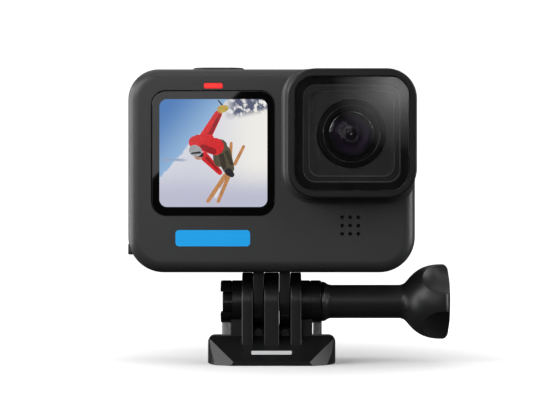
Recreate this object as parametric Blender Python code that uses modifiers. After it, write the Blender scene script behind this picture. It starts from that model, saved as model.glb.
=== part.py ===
"""An action camera clamped to a quick-release tripod buckle.

Metres, +Z up, the lens facing -Y. The origin is the middle of the buckle's
underside. The camera tilts about the clamp screw, which runs along X.
"""

import math

import bmesh
import bpy
from mathutils import Matrix, Vector

# ---------------------------------------------------------------- dimensions

CLEARANCE = 0.0003
ROUND_STEPS = 28
PIN_STEPS = 12
CORNER_STEPS = 5
FILLET_STEPS = 3

# Camera body
BODY_WIDTH = 0.0710
BODY_HEIGHT = 0.0503
BODY_DEPTH = 0.0244
BODY_BOTTOM = 0.0229
BODY_X = (-BODY_WIDTH / 2, BODY_WIDTH / 2)
BODY_Z = (BODY_BOTTOM, BODY_BOTTOM + BODY_HEIGHT)
FRONT = -BODY_DEPTH / 2
REAR = BODY_DEPTH / 2
TOP_RADIUS = 0.0075
BOTTOM_RADIUS = 0.0088
BODY_RADII = (BOTTOM_RADIUS, BOTTOM_RADIUS, TOP_RADIUS, TOP_RADIUS)
EDGE_FILLET = 0.0029
WALL = 0.0016
COVER_DEPTH = 0.0032
FRAME_Y = (FRONT + COVER_DEPTH + CLEARANCE, REAR - COVER_DEPTH)
POCKET_RADII = tuple(radius - WALL for radius in BODY_RADII)

# Lens collar, and the removable lens cover in front of it
LENS_X = 0.01955
LENS_Z = 0.0570
COVER_SIDE = 0.0317
COVER_RADIUS = 0.0073
COVER_FRONT = -0.0214
COVER_BACK = -0.0155
COLLAR_FRONT = -0.0152
COLLAR_LEFT = 0.0036
COLLAR_BOTTOM = 0.0410
SKIN_INSET = 0.00005
COLLAR_RADIUS = 0.0070
COLLAR_OUTER_RADIUS = 0.0078
COLLAR_SWEEP = 0.0016
COLLAR_LIP = 0.0003
COLLAR_STEPS = 5
COLLAR_POCKET_X = (0.0056, 0.0338)
COLLAR_POCKET_Z = (0.0430, 0.0715)
COLLAR_POCKET_RADIUS = 0.0050
COLLAR_POCKET_FRONT = -0.0136
COLLAR_BORE = 0.0102
GLASS_SIDE = 0.0278
GLASS_RADIUS = 0.0046
GLASS_Y = (-0.0211, -0.0197)
GLASS_SEAT_Y = -0.0195
STEP_SIDES = (0.0230, 0.0204)
STEP_RADII = (0.0030, 0.0025)
STEP_ENDS = (-0.0186, -0.0176)
COVER_BORE = 0.0101
COVER_CHAMFER = 0.0004
SEAL_GROOVE = (0.0106, 0.0128)
SEAL_GROOVE_Y = -0.0168
COVER_SEAL_RADII = (0.0109, 0.0125)
COVER_SEAL_Y = (-0.0166, -0.0156)

# Lens: (distance along the lens axis, radius) profiles, front first
MOUNT_RING = (
    (-0.0172, 0.0086),
    (-0.0172, 0.0098),
    (-0.0133, 0.0098),
    (-0.0133, 0.0116),
    (-0.0121, 0.0116),
    (-0.0121, 0.0086),
)
BARREL = (
    (-0.0176, 0.0070),
    (-0.0176, 0.0081),
    (-0.0172, 0.0083),
    (-0.0022, 0.0083),
    (-0.0022, 0.0044),
    (-0.0064, 0.0044),
    (-0.0064, 0.0054),
    (-0.0139, 0.0054),
    (-0.0139, 0.0070),
)
RETAINING_RING = (
    (-0.0173, 0.0063),
    (-0.0175, 0.0065),
    (-0.0173, 0.0068),
    (-0.0156, 0.0068),
    (-0.0156, 0.0063),
)
FRONT_DOME_RADIUS = 0.0060
FRONT_DOME_SAG = 0.0020
FRONT_DOME_APEX = -0.0179
FRONT_RIM_RADIUS = 0.0067
FRONT_RIM_Y = (-0.0154, -0.0142)
DOME_STEPS = 4
INNER_LENS_RADIUS = 0.0051
INNER_LENS_SAG = 0.0007
MIDDLE_ELEMENT_Y = (-0.0136, -0.0116)
REAR_ELEMENT_Y = (-0.0100, -0.0072)
STOP_Y = (-0.0111, -0.0106)
STOP_RADII = (0.0021, 0.0051)
FILTER_RADIUS = 0.0041
FILTER_Y = (-0.0056, -0.0050)
SENSOR_SIDES = (0.0084, 0.0066)
SENSOR_Y = (-0.0018, -0.0009)
SENSOR_BOARD_SIDE = 0.0180
SENSOR_BOARD_Y = (-0.0006, 0.0004)

# Displays
FRONT_GLASS_X = (-0.0296, 0.0007)
FRONT_GLASS_Z = (0.0370, 0.0678)
GLASS_CORNER = 0.0037
FRONT_GLASS_Y = (FRONT + 0.00005, -0.0114)
FRONT_SEAT_Y = -0.0111
FRONT_PANEL_X = (-0.0284, -0.0004)
FRONT_PANEL_Z = (0.0384, 0.0664)
FRONT_PANEL_Y = (-0.0110, -0.0097)
REAR_GLASS_X = (-0.0302, 0.0302)
REAR_GLASS_Z = (0.0282, 0.0686)
REAR_GLASS_Y = (0.0114, REAR - 0.00005)
REAR_SEAT_Y = 0.0111
REAR_PANEL_X = (-0.0270, 0.0270)
REAR_PANEL_Z = (0.0310, 0.0660)
REAR_PANEL_Y = (0.0097, 0.0110)
PANEL_RADIUS = 0.0010

# Front grille and status lights
GRILLE_X = (0.0174, 0.0194, 0.0214)
GRILLE_Z = (0.0324, 0.0345, 0.0365)
GRILLE_RADIUS = 0.00045
SPEAKER_RADIUS = 0.0050
SPEAKER_Y = (-0.0102, -0.0068)
FRONT_LIGHT_X = (-0.0167, -0.0121)
FRONT_LIGHT_Z = (0.06840, 0.06965)
FRONT_LIGHT_Y = (FRONT, -0.0098)
REAR_LIGHT_X = (0.0220, 0.0250)
REAR_LIGHT_Z = (0.0695, 0.0704)
REAR_LIGHT_Y = (0.0098, REAR)
LIGHT_RADIUS = 0.0004
LIGHT_CLEARANCE = 0.00012

# Buttons and the switches they press
SHUTTER_X = (-0.01975, -0.0069)
SHUTTER_Y = (-0.0037, 0.0037)
SHUTTER_Z = (0.0709, BODY_Z[1] + 0.0008)
SHUTTER_RADIUS = 0.0034
SHUTTER_SKIRT_Z = (0.0704, 0.0713)
MODE_X = (0.0331, BODY_X[1] + 0.0004)
MODE_Y = (-0.0025, 0.0025)
MODE_Z = (0.0415, 0.0525)
MODE_RADIUS = 0.0024
MODE_SKIRT_X = (0.0329, 0.0336)
BUTTON_SKIRT = 0.0007
BUTTON_FILLET = 0.0004
SHUTTER_SWITCH = ((-0.0163, -0.0103), (-0.0030, 0.0030), (0.0672, 0.0694))
MODE_SWITCH = ((0.0300, 0.0318), (-0.0024, 0.0024), (0.0446, 0.0494))

# Side door on the -X side, with its hinge pin along Y near the top
DOOR_INNER_X = -0.0330
DOOR_Y = (-0.0076, 0.0076)
DOOR_BOTTOM = 0.0269
DOOR_HINGE = (-0.0340, 0.0683)
DOOR_BARREL = 0.0010
DOOR_PIN_RADIUS = 0.00042
DOOR_PIN_BORE = 0.00058
DOOR_PIN_Y = (-0.0085, 0.0083)
DOOR_CURVE_STEPS = 5
LEDGE_X = (-0.0327, -0.0312)
LEDGE_RADIUS = 0.0050
DOOR_SEAL_X = (-0.0336, -0.0329)
DOOR_SEAL_OUTER = ((-0.0071, 0.0071), (0.0280, 0.0669))
DOOR_SEAL_INNER = ((-0.0065, 0.0065), (0.0286, 0.0663))
DOOR_SEAL_RADIUS = 0.0015
LATCH_X = (-0.0359, -0.0345)
LATCH_Y = (-0.0040, 0.0040)
LATCH_Z = (0.0272, 0.0300)
LATCH_CHAMFER = 0.0004
LATCH_RADIUS = 0.0007
LATCH_TRAVEL = 0.0020
LATCH_STEM = ((-0.0346, -0.0339), (-0.0010, 0.0010), (0.0282, 0.0293))
LATCH_SLOT_DEPTH = -0.0336

# Battery, card and port, all reached through the side door
BATTERY_X = (-0.0324, 0.0056)
BATTERY_Y = (-0.0060, 0.0060)
BATTERY_Z = (0.0292, 0.0597)
BATTERY_RADIUS = 0.0020
SLEEVE_X = (-0.0309, 0.0056)
SLEEVE_WALL = 0.0008
CONTACTS = ((0.0060, 0.0076), (-0.0040, 0.0040), (0.0400, 0.0500))
CARD = ((-0.0322, -0.0172), (-0.0055, 0.0055), (0.0614, 0.0621))
CARD_SOCKET = ((-0.0309, -0.0165), (-0.0064, 0.0064), (0.0609, 0.0626))
CARD_SLOT_END = -0.0169
PORT_X = (-0.0324, -0.0245)
PORT_Y = (-0.0045, 0.0045)
PORT_Z = (0.0632, 0.0663)
PORT_RADIUS = 0.0015
PORT_SHELL = 0.0003
PORT_FLOOR_X = -0.0258
PORT_TONGUE = ((-0.0320, -0.0252), (-0.0033, 0.0033), (0.0644, 0.0651))

# Electronics
MAIN_BOARD = ((0.0085, 0.0320), (0.0042, 0.0052), (0.0290, 0.0690))
PROCESSOR = ((0.0140, 0.0240), (0.0026, 0.0039), (0.0330, 0.0430))
HEAT_SINK = ((0.0085, 0.0320), (0.0058, 0.0082), (0.0300, 0.0680))
SINK_FINS = 9
SINK_FIN_DEPTH = 0.0014
CHIP_RADIUS = 0.0003

# Clamp axis, and the two camera fingers folded down from the body's underside
CLAMP_Z = 0.01535
FINGER_X = (0.0019, 0.00465)
FINGER_RADIUS = 0.0064
FINGER_PIN_Z = 0.0249
FINGER_PIN_RADIUS = 0.0008
FINGER_PIN_BORE = 0.0010
FINGER_PIN_Y = 0.0076
SCREW_BORE = 0.0026
RECESS_X = 0.0193
RECESS_Y = 0.0068
RECESS_TOP = 0.0266
FLOOR_X = 0.0208
FLOOR_TOP = 0.0279

# Buckle
BASE_TOP = 0.0069
BASE_FRONT = -0.0135
BASE_REAR = 0.0050
BASE_HALF_WIDTH = 0.0160
BASE_FRONT_HALF_WIDTH = 0.0096
BASE_CURVE_STEPS = 8
BASE_REAR_RADIUS = 0.0020
TOE_HEIGHT = 0.0009
SLOPE_TOP_Y = -0.0040
SLOPE_REACH = 0.0060
CORNER_FACET_POINT = (0.0095, -0.0134, 0.0009)
CORNER_FACET_NORMAL = (0.567, -0.691, 0.448)
CORNER_FACET_CUTTER = 0.0400
SHOULDER_INSET = 0.0017
SHOULDER_DROP = 0.0013
PRONG_RADIUS = 0.0073
PRONG_SINK = 0.0035
MIDDLE_PRONG = 0.00175
OUTER_PRONG = (0.0048, 0.0074)
HUB_RADIUS = 0.00535
HUB_END = 0.0123
NUT_HUB_END = 0.0128
WEB_X = (0.0070, 0.0102)
WEB_Y = (-0.0030, 0.0030)
WEB_Z = (0.0060, 0.0110)
SLOT_RIB_X = (0.0023, 0.0043)
SLOT_RIB_Y = (-0.0030, 0.0030)
SLOT_RIB_Z = (0.0060, 0.0086)
SLOT_RIB_RADIUS = 0.0008
SLOT_DAM_X = 0.0060
SLOT_DAM_Y = (0.0037, 0.0048)
SLOT_DAM_Z = (0.0060, 0.0095)
RAIL_X = 0.0082
RAIL_Y = (0.0045, 0.0200)
RAIL_Z = (0.0, 0.0035)
RAIL_RADIUS = 0.0020
NUT_FLATS = 0.0076
NUT_POCKET_FLATS = 0.0080
NUT_X = (-0.0123, -0.0086)
NUT_SEAT_X = -0.0083
NUT_WINDOW_X = (-0.0140, -0.0098)
NUT_WINDOW_HALF_HEIGHT = 0.0026
HEXAGON_SIDES = 6
BORE_STEPS = 24

# Squeeze arms of the buckle
ARM_X = (0.0106, 0.0126)
ARM_Y = (0.0053, 0.0210)
ARM_Z = (0.0005, 0.0050)
ARM_HINGE_Y = 0.0056
TAB_Y = (0.0145, 0.0210)
TAB_TOP = 0.0108
TAB_RADIUS = 0.0008
RIB_COUNT = 6
RIB_PROUD = 0.0003
RIB_WIDTH = 0.0005

# Clamp screw, washer and knob
SCREW_RADIUS = 0.0024
SCREW_X = (-0.0118, 0.0295)
WASHER_X = (0.0125, 0.0129)
WASHER_RADII = (0.0027, 0.0046)
KNOB_BORE = 0.0026
KNOB_BORE_END = 0.0298
KNOB_PROFILE = (
    (0.0132, 0.0),
    (0.0132, 0.0045),
    (0.0140, 0.0042),
    (0.0324, 0.0042),
    (0.0330, 0.0044),
    (0.0340, 0.0053),
    (0.0350, 0.0065),
    (0.0360, 0.0074),
    (0.0375, 0.0084),
    (0.0390, 0.0090),
    (0.0410, 0.0093),
    (0.0430, 0.0094),
    (0.0436, 0.0091),
    (0.0441, 0.0084),
    (0.0446, 0.0040),
    (0.0447, 0.0),
)
KNOB_LOBES = 4
SCOOP_RADIUS = 0.0081
SCOOP_DISTANCE = 0.0144
SCOOP_DOME_X = 0.0430
SCOOP_END_X = 0.0460
SCOOP_DOME_STEPS = 6

CUT_OVERLAP = 0.0010
WELD = 0.000001
SHARP_ANGLE = math.radians(35)

# ------------------------------------------------------------------- helpers

for leftover in list(bpy.data.objects):
    bpy.data.objects.remove(leftover, do_unlink=True)

CAMERA = bpy.data.collections.new("action_camera")
CUTTERS = bpy.data.collections.new("cutters")
bpy.context.scene.collection.children.link(CAMERA)
bpy.context.scene.collection.children.link(CUTTERS)
CUTTERS.hide_render = True

TURNS = {
    "X": Matrix.Rotation(math.pi / 2, 4, "Y"),
    "Y": Matrix.Rotation(-math.pi / 2, 4, "X"),
    "Z": Matrix.Identity(4),
}


def grow(span, by):
    return (span[0] - by, span[1] + by)


def mirrored(span):
    return (-span[1], -span[0])


def around(centre, side):
    return (centre - side / 2, centre + side / 2)


def middle(span):
    return (span[0] + span[1]) / 2


def place(axis, a, b, along):
    """Orders two values across an axis and one along it as X, Y, Z."""
    return {"X": (along, a, b), "Y": (a, along, b), "Z": (a, b, along)}[axis]


def linked(name, data):
    made = bpy.data.objects.new(name, data)
    CAMERA.objects.link(made)
    return made


def as_object(name, mesh):
    """Turns a bmesh into an object with its faces pointing out."""
    bmesh.ops.recalc_face_normals(mesh, faces=mesh.faces)
    if mesh.calc_volume(signed=True) < 0:
        bmesh.ops.reverse_faces(mesh, faces=mesh.faces)
    data = bpy.data.meshes.new(name)
    mesh.to_mesh(data)
    mesh.free()
    return linked(name, data)


def evaluated(guide):
    """A curve's or modifier's result as a welded bmesh; the guide object goes."""
    bpy.context.view_layer.update()
    graph = bpy.context.evaluated_depsgraph_get()
    data = bpy.data.meshes.new_from_object(guide.evaluated_get(graph))
    mesh = bmesh.new()
    mesh.from_mesh(data)
    bmesh.ops.remove_doubles(mesh, verts=mesh.verts, dist=WELD)
    bpy.data.meshes.remove(data)
    bpy.data.objects.remove(guide, do_unlink=True)
    return mesh


def box_mesh(x, y, z):
    mesh = bmesh.new()
    bmesh.ops.create_cube(mesh, size=1.0)
    lengths = [high - low for low, high in (x, y, z)]
    bmesh.ops.scale(mesh, vec=lengths, verts=mesh.verts)
    bmesh.ops.translate(mesh, vec=[middle(span) for span in (x, y, z)], verts=mesh.verts)
    return mesh


def block(name, x, y, z):
    return as_object(name, box_mesh(x, y, z))


def round_edges(mesh, chosen, radius, steps):
    edges = [edge for edge in mesh.edges if all(chosen(vert.co) for vert in edge.verts)]
    bmesh.ops.bevel(
        mesh,
        geom=edges,
        offset=radius,
        offset_type="OFFSET",
        segments=steps,
        profile=0.5,
        affect="EDGES",
        clamp_overlap=True,
    )


def slab(name, axis, a, b, along, radii, low_fillet=0.0, high_fillet=0.0):
    """A box across an axis with its four long edges rounded, and its rim at either end filleted.

    The corner radii run anticlockwise from the low-low corner.
    """
    if isinstance(radii, float):
        radii = (radii,) * 4
    mesh = box_mesh(*place(axis, a, b, along))
    line = "XYZ".index(axis)
    corners = ((a[0], b[0]), (a[1], b[0]), (a[1], b[1]), (a[0], b[1]))
    for corner, radius in zip(corners, radii):
        if radius:
            foot = Vector(place(axis, *corner, 0.0))
            round_edges(
                mesh,
                lambda point: all(abs(point[i] - foot[i]) < WELD for i in range(3) if i != line),
                radius,
                CORNER_STEPS,
            )
    for end, fillet in zip(along, (low_fillet, high_fillet)):
        if fillet:
            round_edges(mesh, lambda point: abs(point[line] - end) < WELD, fillet, FILLET_STEPS)
    return as_object(name, mesh)


def prism(name, axis, outline, along):
    """A flat outline across an axis, extruded over a span."""
    curve = bpy.data.curves.new(name, "CURVE")
    curve.dimensions = "2D"
    curve.fill_mode = "BOTH"
    curve.extrude = (along[1] - along[0]) / 2
    spline = curve.splines.new("POLY")
    spline.points.add(len(outline) - 1)
    for point, (a, b) in zip(spline.points, outline):
        point.co = (a, b, 0.0, 1.0)
    spline.use_cyclic_u = True
    mesh = evaluated(linked(name, curve))
    bpy.data.curves.remove(curve)
    for vert in mesh.verts:
        a, b, offset = vert.co
        vert.co = place(axis, a, b, middle(along) + offset)
    return as_object(name, mesh)


def turned(name, axis, centre, profile, steps=ROUND_STEPS):
    """Turns (distance along the axis, radius) points; a profile that starts off the axis is a ring."""
    count = len(profile)
    edges = [(index, index + 1) for index in range(count - 1)]
    if profile[0][1] > 0:
        edges.append((count - 1, 0))
    data = bpy.data.meshes.new(name)
    data.from_pydata([(radius, 0.0, along) for along, radius in profile], edges, [])
    guide = linked(name, data)
    screw = guide.modifiers.new("turn", "SCREW")
    screw.steps = steps
    screw.render_steps = steps
    screw.use_merge_vertices = True
    screw.merge_threshold = WELD
    mesh = evaluated(guide)
    bpy.data.meshes.remove(data)
    turn = Matrix.Translation(place(axis, *centre, 0.0)) @ TURNS[axis]
    bmesh.ops.transform(mesh, matrix=turn, verts=mesh.verts)
    return as_object(name, mesh)


def rod(name, axis, centre, radius, along, steps=ROUND_STEPS):
    mesh = bmesh.new()
    bmesh.ops.create_cone(
        mesh,
        cap_ends=True,
        segments=steps,
        radius1=radius,
        radius2=radius,
        depth=along[1] - along[0],
        matrix=Matrix.Translation(place(axis, *centre, middle(along))) @ TURNS[axis],
    )
    return as_object(name, mesh)


def ring(name, axis, centre, radii, along, steps=ROUND_STEPS):
    profile = [(along[end], radii[side]) for end, side in ((0, 0), (0, 1), (1, 1), (1, 0))]
    return turned(name, axis, centre, profile, steps)


def combine(target, tool, operation):
    CAMERA.objects.unlink(tool)
    CUTTERS.objects.link(tool)
    tool.hide_render = True
    tool.display_type = "WIRE"
    modifier = target.modifiers.new(tool.name, "BOOLEAN")
    modifier.operation = operation
    modifier.solver = "EXACT"
    modifier.object = tool


def cut(target, *tools):
    for tool in tools:
        combine(target, tool, "DIFFERENCE")


def join(target, *tools):
    for tool in tools:
        combine(target, tool, "UNION")


def hoop(name, axis, outer, inner, along, outer_radius, inner_radius):
    """A rectangular frame with rounded corners."""
    made = slab(name, axis, *outer, along, outer_radius)
    cut(made, slab(name + "_opening", axis, *inner, grow(along, CUT_OVERLAP), inner_radius))
    return made


def merged(name, pieces):
    """Several separate bodies as one cutter."""
    mesh = bmesh.new()
    for piece in pieces:
        mesh.from_mesh(piece.data)
        bpy.data.objects.remove(piece, do_unlink=True)
    return as_object(name, mesh)


def finish(made, colour, roughness, metallic=0.0, origin=None):
    """Gives a piece its own material and its shading and, if it moves, its joint as origin."""
    material = bpy.data.materials.new(made.name)
    material.use_nodes = True
    shader = material.node_tree.nodes["Principled BSDF"]
    shader.inputs["Base Color"].default_value = (*colour, 1.0)
    shader.inputs["Roughness"].default_value = roughness
    shader.inputs["Metallic"].default_value = metallic
    made.data.materials.append(material)
    if not made.modifiers:
        made.data.shade_smooth()
        made.data.set_sharp_from_angle(angle=SHARP_ANGLE)
    if origin is not None:
        made.data.transform(Matrix.Translation(-Vector(origin)))
        made.location = origin


def body_side_x(height):
    """How far out the -X side of the body lies at this height."""
    lower = BODY_Z[0] + BOTTOM_RADIUS
    upper = BODY_Z[1] - TOP_RADIUS
    if height < lower:
        rise, radius = lower - height, BOTTOM_RADIUS
    elif height > upper:
        rise, radius = height - upper, TOP_RADIUS
    else:
        return BODY_X[0]
    return BODY_X[0] + radius - math.sqrt(radius**2 - rise**2)


# Colours
BLACK_PLASTIC = (0.020, 0.021, 0.023)
DARK_RUBBER = (0.030, 0.031, 0.033)
BLACK_METAL = (0.012, 0.012, 0.013)
GLASS_BLACK = (0.006, 0.006, 0.007)
SCREEN_BLUE = (0.10, 0.30, 0.55)
LIGHT_RED = (0.90, 0.03, 0.04)
FILTER_RED = (0.10, 0.02, 0.03)
LENS_COATING = (0.020, 0.010, 0.030)
STEEL = (0.55, 0.56, 0.58)
BARE_ALUMINIUM = (0.70, 0.71, 0.73)
GOLD = (0.80, 0.60, 0.20)
BOARD_GREEN = (0.010, 0.090, 0.040)
BATTERY_GREY = (0.45, 0.46, 0.48)
SEAL_GREY = (0.25, 0.26, 0.28)
ARM_GREY = (0.30, 0.31, 0.32)

LENS_CENTRE = (LENS_X, LENS_Z)
LENS_ORIGIN = (LENS_X, COVER_BACK, LENS_Z)
CLAMP_CENTRE = (0.0, CLAMP_Z)
CLAMP_ORIGIN = (0.0, 0.0, CLAMP_Z)

# --------------------------------------------------------------- front cover


def rounded(a, b, radii):
    """The outline of a rectangle, its corner radii anticlockwise from low-low."""
    corners = ((a[0], b[0], 1, 1), (a[1], b[0], -1, 1), (a[1], b[1], -1, -1), (a[0], b[1], 1, -1))
    points = []
    for turn, ((corner_a, corner_b, toward_a, toward_b), radius) in enumerate(zip(corners, radii)):
        for step in range(CORNER_STEPS + 1):
            angle = math.pi + (turn + step / CORNER_STEPS) * math.pi / 2
            point_a = corner_a + toward_a * radius + radius * math.cos(angle)
            point_b = corner_b + toward_b * radius + radius * math.sin(angle)
            points.append((point_a, point_b))
    return points


def loft(name, rings):
    """A closed body through rings of equally many points."""
    mesh = bmesh.new()
    rows = [[mesh.verts.new(point) for point in ring] for ring in rings]
    for row, after in zip(rows, rows[1:]):
        for index in range(len(row)):
            mesh.faces.new((row[index - 1], row[index], after[index], after[index - 1]))
    mesh.faces.new(rows[0])
    mesh.faces.new(rows[-1])
    return as_object(name, mesh)


def collar():
    """The raised square around the lens, swept into the front face on two sides."""
    right = BODY_X[1] - SKIN_INSET
    top = BODY_Z[1] - SKIN_INSET
    levels = [(COLLAR_LIP, COLLAR_FRONT), (0.0, COLLAR_FRONT + COLLAR_LIP)]
    arc_y = FRONT + SKIN_INSET - COLLAR_SWEEP
    for step in range(COLLAR_STEPS + 1):
        angle = math.pi / 2 * step / COLLAR_STEPS
        spread = -COLLAR_SWEEP * (1 - math.cos(angle))
        levels.append((spread, arc_y + COLLAR_SWEEP * math.sin(angle)))
    levels.append((-COLLAR_SWEEP, FRONT + EDGE_FILLET))
    rings = []
    for inset, level in levels:
        trim = max(inset, 0.0)
        outline = rounded(
            (COLLAR_LEFT + inset, right - trim),
            (COLLAR_BOTTOM + inset, top - trim),
            (COLLAR_RADIUS - inset, COLLAR_RADIUS, COLLAR_OUTER_RADIUS, COLLAR_RADIUS),
        )
        rings.append([place("Y", *point, level) for point in outline])
    return loft("collar", rings)


front_cover = slab(
    "front_cover",
    "Y",
    BODY_X,
    BODY_Z,
    (FRONT, FRONT + COVER_DEPTH),
    BODY_RADII,
    low_fillet=EDGE_FILLET,
)
join(front_cover, collar())
cut(
    front_cover,
    slab(
        "front_pocket",
        "Y",
        grow(BODY_X, -WALL),
        grow(BODY_Z, -WALL),
        (FRONT + WALL, 0.0),
        POCKET_RADII,
    ),
    slab(
        "collar_pocket",
        "Y",
        COLLAR_POCKET_X,
        COLLAR_POCKET_Z,
        (COLLAR_POCKET_FRONT, FRONT + WALL + CUT_OVERLAP),
        COLLAR_POCKET_RADIUS,
    ),
    rod("collar_bore", "Y", LENS_CENTRE, COLLAR_BORE, (COLLAR_FRONT - CUT_OVERLAP, FRONT)),
    slab(
        "front_glass_recess",
        "Y",
        grow(FRONT_GLASS_X, CLEARANCE),
        grow(FRONT_GLASS_Z, CLEARANCE),
        (FRONT - CUT_OVERLAP, FRONT_SEAT_Y),
        GLASS_CORNER + CLEARANCE,
    ),
    slab(
        "front_panel_window",
        "Y",
        grow(FRONT_PANEL_X, CLEARANCE),
        grow(FRONT_PANEL_Z, CLEARANCE),
        (FRONT, FRONT + WALL + CUT_OVERLAP),
        PANEL_RADIUS,
    ),
    slab(
        "front_light_hole",
        "Y",
        grow(FRONT_LIGHT_X, LIGHT_CLEARANCE),
        grow(FRONT_LIGHT_Z, LIGHT_CLEARANCE),
        (FRONT - CUT_OVERLAP, FRONT + WALL + CUT_OVERLAP),
        LIGHT_RADIUS,
    ),
    merged(
        "grille",
        [
            rod(
                f"grille_{column}_{row}",
                "Y",
                (x, z),
                GRILLE_RADIUS,
                (FRONT - CUT_OVERLAP, FRONT + WALL + CUT_OVERLAP),
                PIN_STEPS,
            )
            for column, x in enumerate(GRILLE_X)
            for row, z in enumerate(GRILLE_Z)
        ],
    ),
)
finish(front_cover, BLACK_PLASTIC, 0.42)

# ------------------------------------------------------------ mid frame, rear

mid_frame = slab("mid_frame", "Y", BODY_X, BODY_Z, FRAME_Y, BODY_RADII)
cut(
    mid_frame,
    slab(
        "frame_pocket",
        "Y",
        (LEDGE_X[1], BODY_X[1] - WALL),
        grow(BODY_Z, -WALL),
        grow(FRAME_Y, CUT_OVERLAP),
        (LEDGE_RADIUS, POCKET_RADII[1], POCKET_RADII[2], LEDGE_RADIUS),
    ),
)
join(
    mid_frame,
    block(
        "finger_floor",
        (-FLOOR_X, FLOOR_X),
        grow(FRAME_Y, -SKIN_INSET),
        (BODY_BOTTOM + SKIN_INSET, FLOOR_TOP),
    ),
)
cut(
    mid_frame,
    block(
        "finger_recess",
        (-RECESS_X, RECESS_X),
        (-RECESS_Y, RECESS_Y),
        (BODY_BOTTOM - CUT_OVERLAP, RECESS_TOP),
    ),
    merged(
        "finger_pin_bores",
        [
            rod(
                f"finger_pin_bore_{side}",
                "Y",
                (side * middle(FINGER_X), FINGER_PIN_Z),
                FINGER_PIN_BORE,
                (-FINGER_PIN_Y - CLEARANCE, FINGER_PIN_Y + CLEARANCE),
                PIN_STEPS,
            )
            for side in (-1, 1)
        ],
    ),
    block(
        "door_pocket",
        (BODY_X[0] - CUT_OVERLAP, LEDGE_X[0]),
        grow(DOOR_Y, CLEARANCE),
        (DOOR_BOTTOM - CLEARANCE, DOOR_HINGE[1] + DOOR_BARREL + CLEARANCE),
    ),
    rod(
        "door_pin_sockets",
        "Y",
        DOOR_HINGE,
        DOOR_PIN_BORE,
        (FRAME_Y[0] - CUT_OVERLAP, DOOR_PIN_Y[1] + CLEARANCE),
        PIN_STEPS,
    ),
    slab(
        "battery_opening",
        "X",
        grow(BATTERY_Y, CLEARANCE),
        grow(BATTERY_Z, CLEARANCE),
        grow(LEDGE_X, CUT_OVERLAP / 2),
        BATTERY_RADIUS + CLEARANCE,
    ),
    block(
        "card_opening",
        grow(LEDGE_X, CUT_OVERLAP / 2),
        grow(CARD[1], CLEARANCE),
        grow(CARD[2], CLEARANCE),
    ),
    slab(
        "port_opening",
        "X",
        grow(PORT_Y, CLEARANCE),
        grow(PORT_Z, CLEARANCE),
        grow(LEDGE_X, CUT_OVERLAP / 2),
        PORT_RADIUS + CLEARANCE,
    ),
    slab(
        "shutter_opening",
        "Z",
        grow(SHUTTER_X, CLEARANCE),
        grow(SHUTTER_Y, CLEARANCE),
        (BODY_Z[1] - WALL - CUT_OVERLAP, BODY_Z[1] + CUT_OVERLAP),
        SHUTTER_RADIUS + CLEARANCE,
    ),
    slab(
        "mode_opening",
        "X",
        grow(MODE_Y, CLEARANCE),
        grow(MODE_Z, CLEARANCE),
        (BODY_X[1] - WALL - CUT_OVERLAP, BODY_X[1] + CUT_OVERLAP),
        MODE_RADIUS + CLEARANCE,
    ),
)
finish(mid_frame, DARK_RUBBER, 0.60)

rear_cover = slab(
    "rear_cover",
    "Y",
    BODY_X,
    BODY_Z,
    (FRAME_Y[1] + CLEARANCE, REAR),
    BODY_RADII,
    high_fillet=EDGE_FILLET - CLEARANCE,
)
cut(
    rear_cover,
    slab(
        "rear_pocket",
        "Y",
        grow(BODY_X, -WALL),
        grow(BODY_Z, -WALL),
        (0.0, REAR - WALL),
        POCKET_RADII,
    ),
    slab(
        "rear_glass_recess",
        "Y",
        grow(REAR_GLASS_X, CLEARANCE),
        grow(REAR_GLASS_Z, CLEARANCE),
        (REAR_SEAT_Y, REAR + CUT_OVERLAP),
        GLASS_CORNER + CLEARANCE,
    ),
    slab(
        "rear_panel_window",
        "Y",
        grow(REAR_PANEL_X, CLEARANCE),
        grow(REAR_PANEL_Z, CLEARANCE),
        (REAR - WALL - CUT_OVERLAP, REAR),
        PANEL_RADIUS,
    ),
    slab(
        "rear_light_hole",
        "Y",
        grow(REAR_LIGHT_X, LIGHT_CLEARANCE),
        grow(REAR_LIGHT_Z, LIGHT_CLEARANCE),
        (REAR - WALL - CUT_OVERLAP, REAR + CUT_OVERLAP),
        LIGHT_RADIUS,
    ),
)
finish(rear_cover, BLACK_PLASTIC, 0.42)

# ------------------------------------------------------- displays and lights


def window_part(name, x, z, y, radius, colour):
    finish(slab(name, "Y", x, z, y, radius), colour, 0.08)


window_part("front_display_glass", FRONT_GLASS_X, FRONT_GLASS_Z, FRONT_GLASS_Y, GLASS_CORNER, GLASS_BLACK)
window_part("front_display_panel", FRONT_PANEL_X, FRONT_PANEL_Z, FRONT_PANEL_Y, PANEL_RADIUS, SCREEN_BLUE)
window_part("rear_display_glass", REAR_GLASS_X, REAR_GLASS_Z, REAR_GLASS_Y, GLASS_CORNER, GLASS_BLACK)
window_part("rear_display_panel", REAR_PANEL_X, REAR_PANEL_Z, REAR_PANEL_Y, PANEL_RADIUS, GLASS_BLACK)
window_part("front_status_light", FRONT_LIGHT_X, FRONT_LIGHT_Z, FRONT_LIGHT_Y, LIGHT_RADIUS, LIGHT_RED)
window_part("rear_status_light", REAR_LIGHT_X, REAR_LIGHT_Z, REAR_LIGHT_Y, LIGHT_RADIUS, LIGHT_RED)

speaker = rod("speaker", "Y", (GRILLE_X[1], GRILLE_Z[1]), SPEAKER_RADIUS, SPEAKER_Y)
finish(speaker, BLACK_METAL, 0.5)

# ---------------------------------------------------------------- lens cover


def cover_square(name, side, radius, along):
    return slab(name, "Y", around(LENS_X, side), around(LENS_Z, side), along, radius)


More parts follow.
